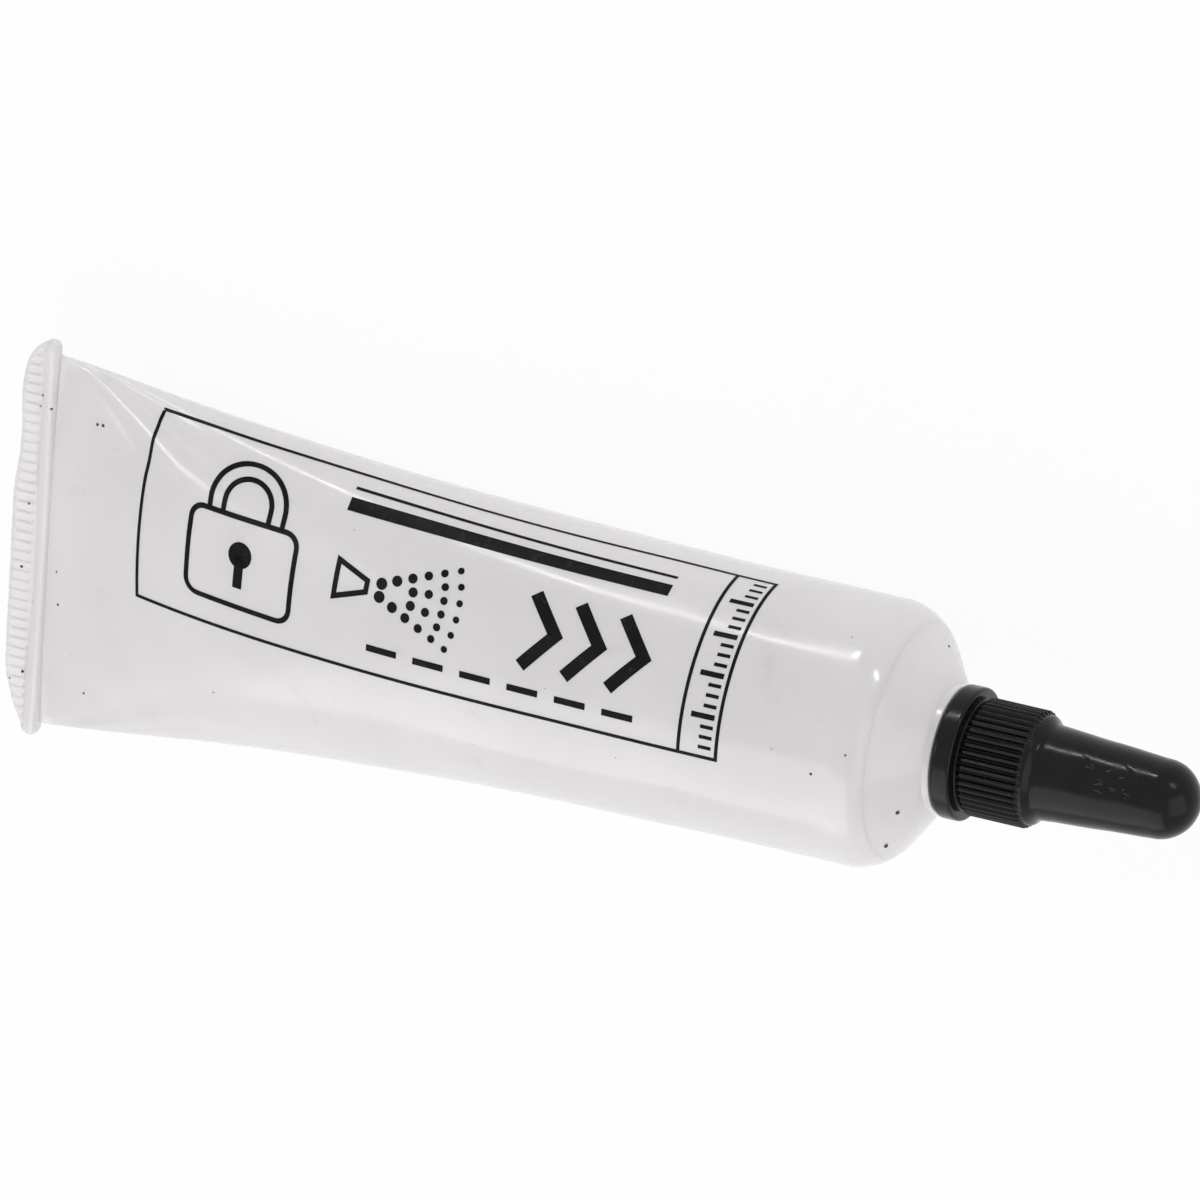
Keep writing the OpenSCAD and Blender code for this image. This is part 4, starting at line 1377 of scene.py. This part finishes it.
class PUFFER_OT_cap(bpy.types.Operator):
    """Build the black screw cap: band, groove, ribs, ledge, cone and hollow with its thread"""

    bl_idname = "puffer.cap"
    bl_label = "Screw cap"

    longest_outer_row = 0.00011
    longest_inner_row = 0.0005
    thread_turns = 1.25
    mouth_chamfer = 0.0002
    band_step = 0.00006
    ledge_length, ledge_rise = 0.0003, 0.00004
    # Radii that round the outside's edges, and those of the hollow from the seat to the mouth
    rim_edge, band_edge, shell_edge, ledge_edge = 0.00022, 0.00025, 0.0001, 0.0005
    seat_edge, seat_foot, cone_root, bore_root, mouth_edge = 0.0001, 0.00008, 0.0001, 0.0004, 0.0002
    last_tip_degrees = 88.5
    tip_turn = math.radians(84)
    tip_flatness = 0.9945
    # The ribs: how uneven their heights are, how sharp they are, and how much they stand out
    rib_heights = (0.86, 1.0)
    rib_sharpness = 0.8
    rib_swell = 1.25
    # Where the ribs rise and fade, counted from their start and from their end
    ribs_rise = (-0.00006, 0.00022)
    ribs_fade = (-0.0003, 0.00004)
    # The worn cone: how soon it starts past the ledge, and the radius that stays calm round the axis
    cone_blend = 0.001
    calm_radius = 0.0006
    # The scuff's strokes: distances back from the tip, degrees round it, slopes, lengths and depth shares
    scuff_count = 16
    scuff_setbacks = (0.0042, 0.0078)
    scuff_degrees = (18, 58)
    scuff_slopes = (-1.2, 1.2)
    scuff_lengths = (0.00012, 0.0004)
    scuff_shares = (0.3, 1.0)
    rib_start = CAP_BASE + BAND_LENGTH + GROOVE_LENGTH
    rib_end = NECK_TOP + 0.3 * CONE_WALL
    ledge_end = rib_end + 1.2 * CONE_WALL

    def execute(self, context):
        looks = context.scene.puffer_tube.cap
        columns = RIB_COUNT * looks.columns
        draws = np.random.default_rng(31)
        self.heights = draws.uniform(*self.rib_heights, RIB_COUNT)
        self.scuffs = self.scuff_strokes(draws)
        self.scuff_depth = looks.scuff_depth
        outside = refine_path(self.outer_path(), self.longest_outer_row)
        inside = refine_path(self.inner_path(), self.longest_inner_row)
        outer_rows = lathe_points(outside, columns, self.outer_change)
        inner_rows = lathe_points(inside, columns)
        rows = np.concatenate([inner_rows, outer_rows])
        points = rows.reshape(-1, 3).tolist()
        faces = tube_faces(rows)
        lag = CAP_THREAD_START - NECK_THREAD_START
        mesh_angle = 2 * math.pi * lag / THREAD_LEAD + math.pi / THREAD_STARTS
        root, crest = CAP_BORE + THREAD_HEIGHT / 3, CAP_BORE - THREAD_HEIGHT
        add_threads(points, faces, CAP_THREAD_START, self.thread_turns, root, crest, mesh_angle)
        piece = make_object(
            "ribbed_cap", lay(np.array(points)), faces, "cap", black_plastic(looks))
        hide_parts("screw_cap")
        return {"FINISHED"}

    def outer_path(self):
        """Outside of the cap from the rim of the mouth to the tip, as station and radius."""
        root = RIB_RADIUS - RIB_DEPTH
        shell = root - RIB_DEPTH / 4
        tip_middle = CAP_END - CONE_TIP * math.sin(self.tip_turn)
        path = rounded_path([
            (CAP_BASE, CAP_BORE + self.mouth_chamfer, 0),
            (CAP_BASE, BAND_RADIUS, self.rim_edge),
            (CAP_BASE + BAND_LENGTH, BAND_RADIUS, self.band_edge),
            (CAP_BASE + BAND_LENGTH + self.band_step, shell, self.shell_edge),
            (self.rib_end + GROOVE_LENGTH / 2, shell, self.shell_edge),
            (self.ledge_end - self.ledge_length, CONE_BASE + self.ledge_rise, self.ledge_edge),
            (tip_middle, CONE_TIP, 0),
        ]).tolist()
        for degrees in np.linspace(0, self.last_tip_degrees, 26)[1:]:
            t = math.radians(degrees)
            path.append([tip_middle + CONE_TIP * self.tip_flatness * math.sin(t), CONE_TIP * math.cos(t)])
        return np.array(path)

    def inner_path(self):
        """Hollow of the cap from the plug's seat back to the mouth."""
        seat = DISC_RADIUS + THREAD_GAP / 3
        seat_end = PLUG_END + THREAD_GAP / 3
        seat_start = NOZZLE_END + THREAD_GAP
        return rounded_path([
            (seat_end, NEAR_AXIS, 0),
            (seat_end, seat, self.seat_edge),
            (seat_start, seat, self.seat_foot),
            (seat_start, CONE_TIP - CONE_WALL, self.cone_root),
            (NECK_TOP + 4 * THREAD_GAP, CONE_BASE - CONE_WALL, self.bore_root),
            (NECK_TOP + 4 * THREAD_GAP, CAP_BORE, self.mouth_edge),
            (CAP_BASE + self.mouth_chamfer, CAP_BORE, self.mouth_edge),
        ])

    def outer_change(self, station, radius, around):
        """Ribs, small unevenness and the scuff, as a change of radius."""
        phase = around * RIB_COUNT / (2 * math.pi)
        crest = (0.5 + 0.5 * np.cos(2 * math.pi * phase)) ** self.rib_sharpness
        strength = self.heights[np.round(phase).astype(int) % RIB_COUNT]
        rise, fade = np.array(self.ribs_rise) + self.rib_start, np.array(self.ribs_fade) + self.rib_end
        window = smooth_step(*rise, station) * (1 - smooth_step(*fade, station))
        ribs = (self.rib_swell * RIB_DEPTH * crest * strength) * window
        uneven = UNEVEN_DEPTH * np.sin(station / UNEVEN_LENGTH + 3 * around) * np.sin(2 * around + 1)
        scuff = 0
        for x, turn, slope, length, depth in self.scuffs:
            along = station - x
            aside = (around - turn) * CONE_TIP - slope * along
            scuff = scuff + depth * np.exp(-(along / length) ** 2 - (aside / SCUFF_WIDTH) ** 2)
        on_cone = smooth_step(self.ledge_end, self.ledge_end + self.cone_blend, station)
        tip_guard = smooth_step(0.0, self.calm_radius, radius)
        worn = uneven + self.scuff_depth * scuff - UNEVEN_DEPTH
        return ribs + worn * on_cone * tip_guard

    def scuff_strokes(self, draws):
        """Short scratches and pits on the side of the tip, as place, turn, slope, length and depth."""
        strokes = []
        for _ in range(self.scuff_count):
            x = CAP_END - draws.uniform(*self.scuff_setbacks)
            turn = math.radians(draws.uniform(*self.scuff_degrees))
            slope = draws.uniform(*self.scuff_slopes)
            length = draws.uniform(*self.scuff_lengths)
            strokes.append((x, turn, slope, length, -draws.uniform(*self.scuff_shares)))
        return strokes


class PUFFER_OT_powder(bpy.types.Operator):
    """Turn the bed of graphite powder into a grainy heap in the same place"""

    bl_idname = "puffer.powder"
    bl_label = "Powder bed"

    grid_size = 0.00045
    wave_count = 18
    wave_lengths = (0.0012, 0.004)
    # How deep the surface sinks, as shares of the relief: everywhere, by the lumps and by each grain
    even_share, lump_share, grain_share = 0.45, 0.3, 0.25

    def execute(self, context):
        looks = context.scene.puffer_tube.graphite
        source = frame["nodes"]["graphite_powder"]
        mesh = source.data.copy()
        piece = bpy.data.objects.new("powder_heap", mesh)
        context.scene.collection.objects.link(piece)
        heap = piece.modifiers.new("fine_grid", "REMESH")
        heap.mode = "VOXEL"
        heap.voxel_size = self.grid_size
        bpy.context.view_layer.update()
        shaped = piece.evaluated_get(bpy.context.evaluated_depsgraph_get())
        piece.data = bpy.data.meshes.new_from_object(shaped)
        piece.modifiers.clear()
        self.pit(piece.data, looks.heap_relief)
        piece.data.materials.clear()
        piece.data.materials.append(graphite_material("graphite_bed", looks))
        piece.data.polygons.foreach_set("use_smooth", [True] * len(piece.data.polygons))
        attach(piece, "tube")
        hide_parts("graphite_powder")
        return {"FINISHED"}

    def pit(self, mesh, depth):
        """Sinks the surface unevenly, so that it never passes the CAD solid."""
        count = len(mesh.vertices)
        places = np.zeros(count * 3)
        normals = np.zeros(count * 3)
        mesh.vertices.foreach_get("co", places)
        mesh.vertices.foreach_get("normal", normals)
        places, normals = places.reshape(-1, 3), normals.reshape(-1, 3)
        draws = np.random.default_rng(3)
        lumps = np.zeros(count)
        for _ in range(self.wave_count):
            direction = draws.normal(size=3)
            direction /= np.linalg.norm(direction)
            length = draws.uniform(*self.wave_lengths)
            lumps += np.sin(places @ direction * 2 * math.pi / length + draws.uniform(0, 6))
        waves = self.lump_share * np.clip(lumps / 4, -1, 1)
        sink = depth * (self.even_share + waves + self.grain_share * draws.uniform(0, 1, count))
        places = places - normals * sink[:, None]
        mesh.vertices.foreach_set("co", places.ravel())
        mesh.update()


class PUFFER_OT_stage(bpy.types.Operator):
    """Set the pale floor, the soft lamps and the camera at the photograph's angle"""

    bl_idname = "puffer.stage"
    bl_label = "Stage"

    # The camera's right, down and inward directions in the tube's own frame
    right = (0.91068, 0.01742, -0.41275)
    down = (0.21196, -0.87728, 0.43064)
    inward = (-0.3546, -0.47966, -0.80261)
    # The crimp's middle in the picture, counted from the picture's middle toward right and down
    picture_width = 0.08337
    middle_right = 0.03884
    middle_down = 0.00436
    middle_inward = -0.0152
    sensor_width = 36.0
    lamp_aim_height = 0.008
    floor_gap = 0.00002
    # Each lamp's name, direction from the tube's middle, distance, size, power setting and share of it
    lamps = (
        ("key_softbox", (-0.15, -0.75, 0.9), 0.8, (0.9, 0.9), "key_power", 1),
        ("fill_softbox", (0.95, 0.0, 0.42), 0.9, (0.8, 0.8), "fill_power", 1),
        ("sleeve_strip", (-0.115, 0.25, 0.007), 0.275, (0.10, 0.006), "strip_power", 1),
        ("cap_strip", (-0.036, 0.25, -0.002), 0.253, (0.046, 0.008), "cap_strip_power", 1.5),
        ("tip_strip", (0.21, 0.25, 0.032), 0.33, (0.07, 0.015), "cap_strip_power", 1.8),
        ("crease_lamp", (-0.68, 0.33, 0.65), 0.46, (0.11, 0.085), "crease_power", 1),
    )

    def execute(self, context):
        looks = context.scene.puffer_tube.stage
        context.scene.view_settings.view_transform = "Standard"
        self.add_floor(looks)
        self.add_world(context, looks)
        self.add_lamps(looks)
        self.add_camera(context, looks)
        return {"FINISHED"}

    @staticmethod
    def turned(direction):
        """A direction of the tube's own frame as it lies."""
        return Vector(lay(direction) - lay([0, 0, 0]))

    def add_floor(self, looks):
        """A wide floor under the lying tube."""
        half_side, steps = 4.0, 8
        ticks = np.linspace(-half_side, half_side, steps + 1)
        points = [(x, y, 0.0) for x in ticks for y in ticks]
        faces = sheet_faces(steps + 1, steps + 1, closed=False)
        mesh = bpy.data.meshes.new("floor")
        mesh.from_pydata(points, [], faces)
        mesh.materials.append(floor_material(looks))
        floor = bpy.data.objects.new("floor", mesh)
        floor.location.z = -self.floor_gap
        bpy.context.scene.collection.objects.link(floor)

    @staticmethod
    def add_world(context, looks):
        """Even sky light that is seen as plain white."""
        world = bpy.data.worlds.new("studio")
        world.use_nodes = True
        tree = world.node_tree
        tree.nodes.clear()
        output = tree.nodes.new("ShaderNodeOutputWorld")
        mix = tree.nodes.new("ShaderNodeMixShader")
        tree.links.new(seen_or_mirrored(tree), mix.inputs[0])
        for strength, socket in ((looks.world_light, mix.inputs[1]), (1, mix.inputs[2])):
            sky = tree.nodes.new("ShaderNodeBackground")
            sky.inputs["Color"].default_value = (1, 1, 1, 1)
            sky.inputs["Strength"].default_value = strength
            tree.links.new(sky.outputs["Background"], socket)
        tree.links.new(mix.outputs["Shader"], output.inputs["Surface"])
        context.scene.world = world

    def add_lamp(self, name, direction, distance, size, power):
        """A soft oblong lamp that looks at the middle of the tube from a direction of the room."""
        lamp = bpy.data.lights.new(name, "AREA")
        lamp.shape = "RECTANGLE"
        lamp.size, lamp.size_y = size
        lamp.energy = power
        holder = bpy.data.objects.new(name, lamp)
        aim = Vector((0, 0, self.lamp_aim_height))
        place = aim + Vector(direction).normalized() * distance
        holder.location = place
        holder.rotation_euler = (aim - place).to_track_quat("-Z", "Y").to_euler()
        holder.visible_camera = False
        bpy.context.scene.collection.objects.link(holder)

    def add_lamps(self, looks):
        """Two broad soft lamps, three low strips behind the tube and a small lamp for the creases."""
        for name, direction, distance, size, setting, share in self.lamps:
            self.add_lamp(name, direction, distance, size, share * getattr(looks, setting))

    def add_camera(self, context, looks):
        """The camera, far away with a narrow view."""
        lens = bpy.data.cameras.new("photo_camera")
        lens.sensor_width = self.sensor_width
        lens.lens = lens.sensor_width * looks.camera_distance / self.picture_width
        lens.clip_end = 100
        camera = bpy.data.objects.new("photo_camera", lens)
        right, down, inward = (self.turned(d) for d in (self.right, self.down, self.inward))
        middle = Vector(CRIMP_MIDDLE) + right * self.middle_right + down * self.middle_down
        middle += inward * self.middle_inward
        place = middle - inward * looks.camera_distance
        axes = Matrix((right, -down, -inward)).transposed().to_4x4()
        camera.matrix_world = Matrix.Translation(place) @ axes
        bpy.context.scene.collection.objects.link(camera)
        context.scene.camera = camera


class PUFFER_PT_panel(bpy.types.Panel):
    """Lists the pieces of the puffer tube and their settings."""

    bl_label = "Puffer Tube"
    bl_idname = "PUFFER_PT_panel"
    bl_space_type = "VIEW_3D"
    bl_region_type = "UI"
    bl_category = "Puffer Tube"

    def draw(self, context):
        settings = context.scene.puffer_tube
        for title, group in (
            ("Sleeve", settings.sleeve), ("Print", settings.label), ("Graphite", settings.graphite),
            ("Cap", settings.cap), ("Stage", settings.stage),
        ):
            box = self.layout.box()
            box.label(text=title)
            for key in group.__annotations__:
                box.prop(group, key)
        for operator in OPERATORS:
            self.layout.operator(operator.bl_idname)


OPERATORS = (
    PUFFER_OT_sleeve,
    PUFFER_OT_crimp,
    PUFFER_OT_label,
    PUFFER_OT_grains,
    PUFFER_OT_head,
    PUFFER_OT_plug,
    PUFFER_OT_cap,
    PUFFER_OT_powder,
    PUFFER_OT_stage,
)

LOOKS = (SleeveLooks, PrintLooks, SpeckLooks, CapLooks, StageLooks)
CLASSES = (*LOOKS, TubeSettings, *OPERATORS, PUFFER_PT_panel)


def register():
    """Adds the classes and the scene's settings."""
    for entry in CLASSES:
        bpy.utils.register_class(entry)
    bpy.types.Scene.puffer_tube = PointerProperty(type=TubeSettings)


def unregister():
    """Takes them away again."""
    del bpy.types.Scene.puffer_tube
    for entry in reversed(CLASSES):
        bpy.utils.unregister_class(entry)


def main():
    """Builds every piece and the stage."""
    register()
    bpy.ops.puffer.sleeve()
    bpy.ops.puffer.crimp()
    bpy.ops.puffer.label()
    bpy.ops.puffer.grains()
    bpy.ops.puffer.head()
    bpy.ops.puffer.plug()
    bpy.ops.puffer.cap()
    bpy.ops.puffer.powder()
    bpy.ops.puffer.stage()


if __name__ == "__main__":
    main()
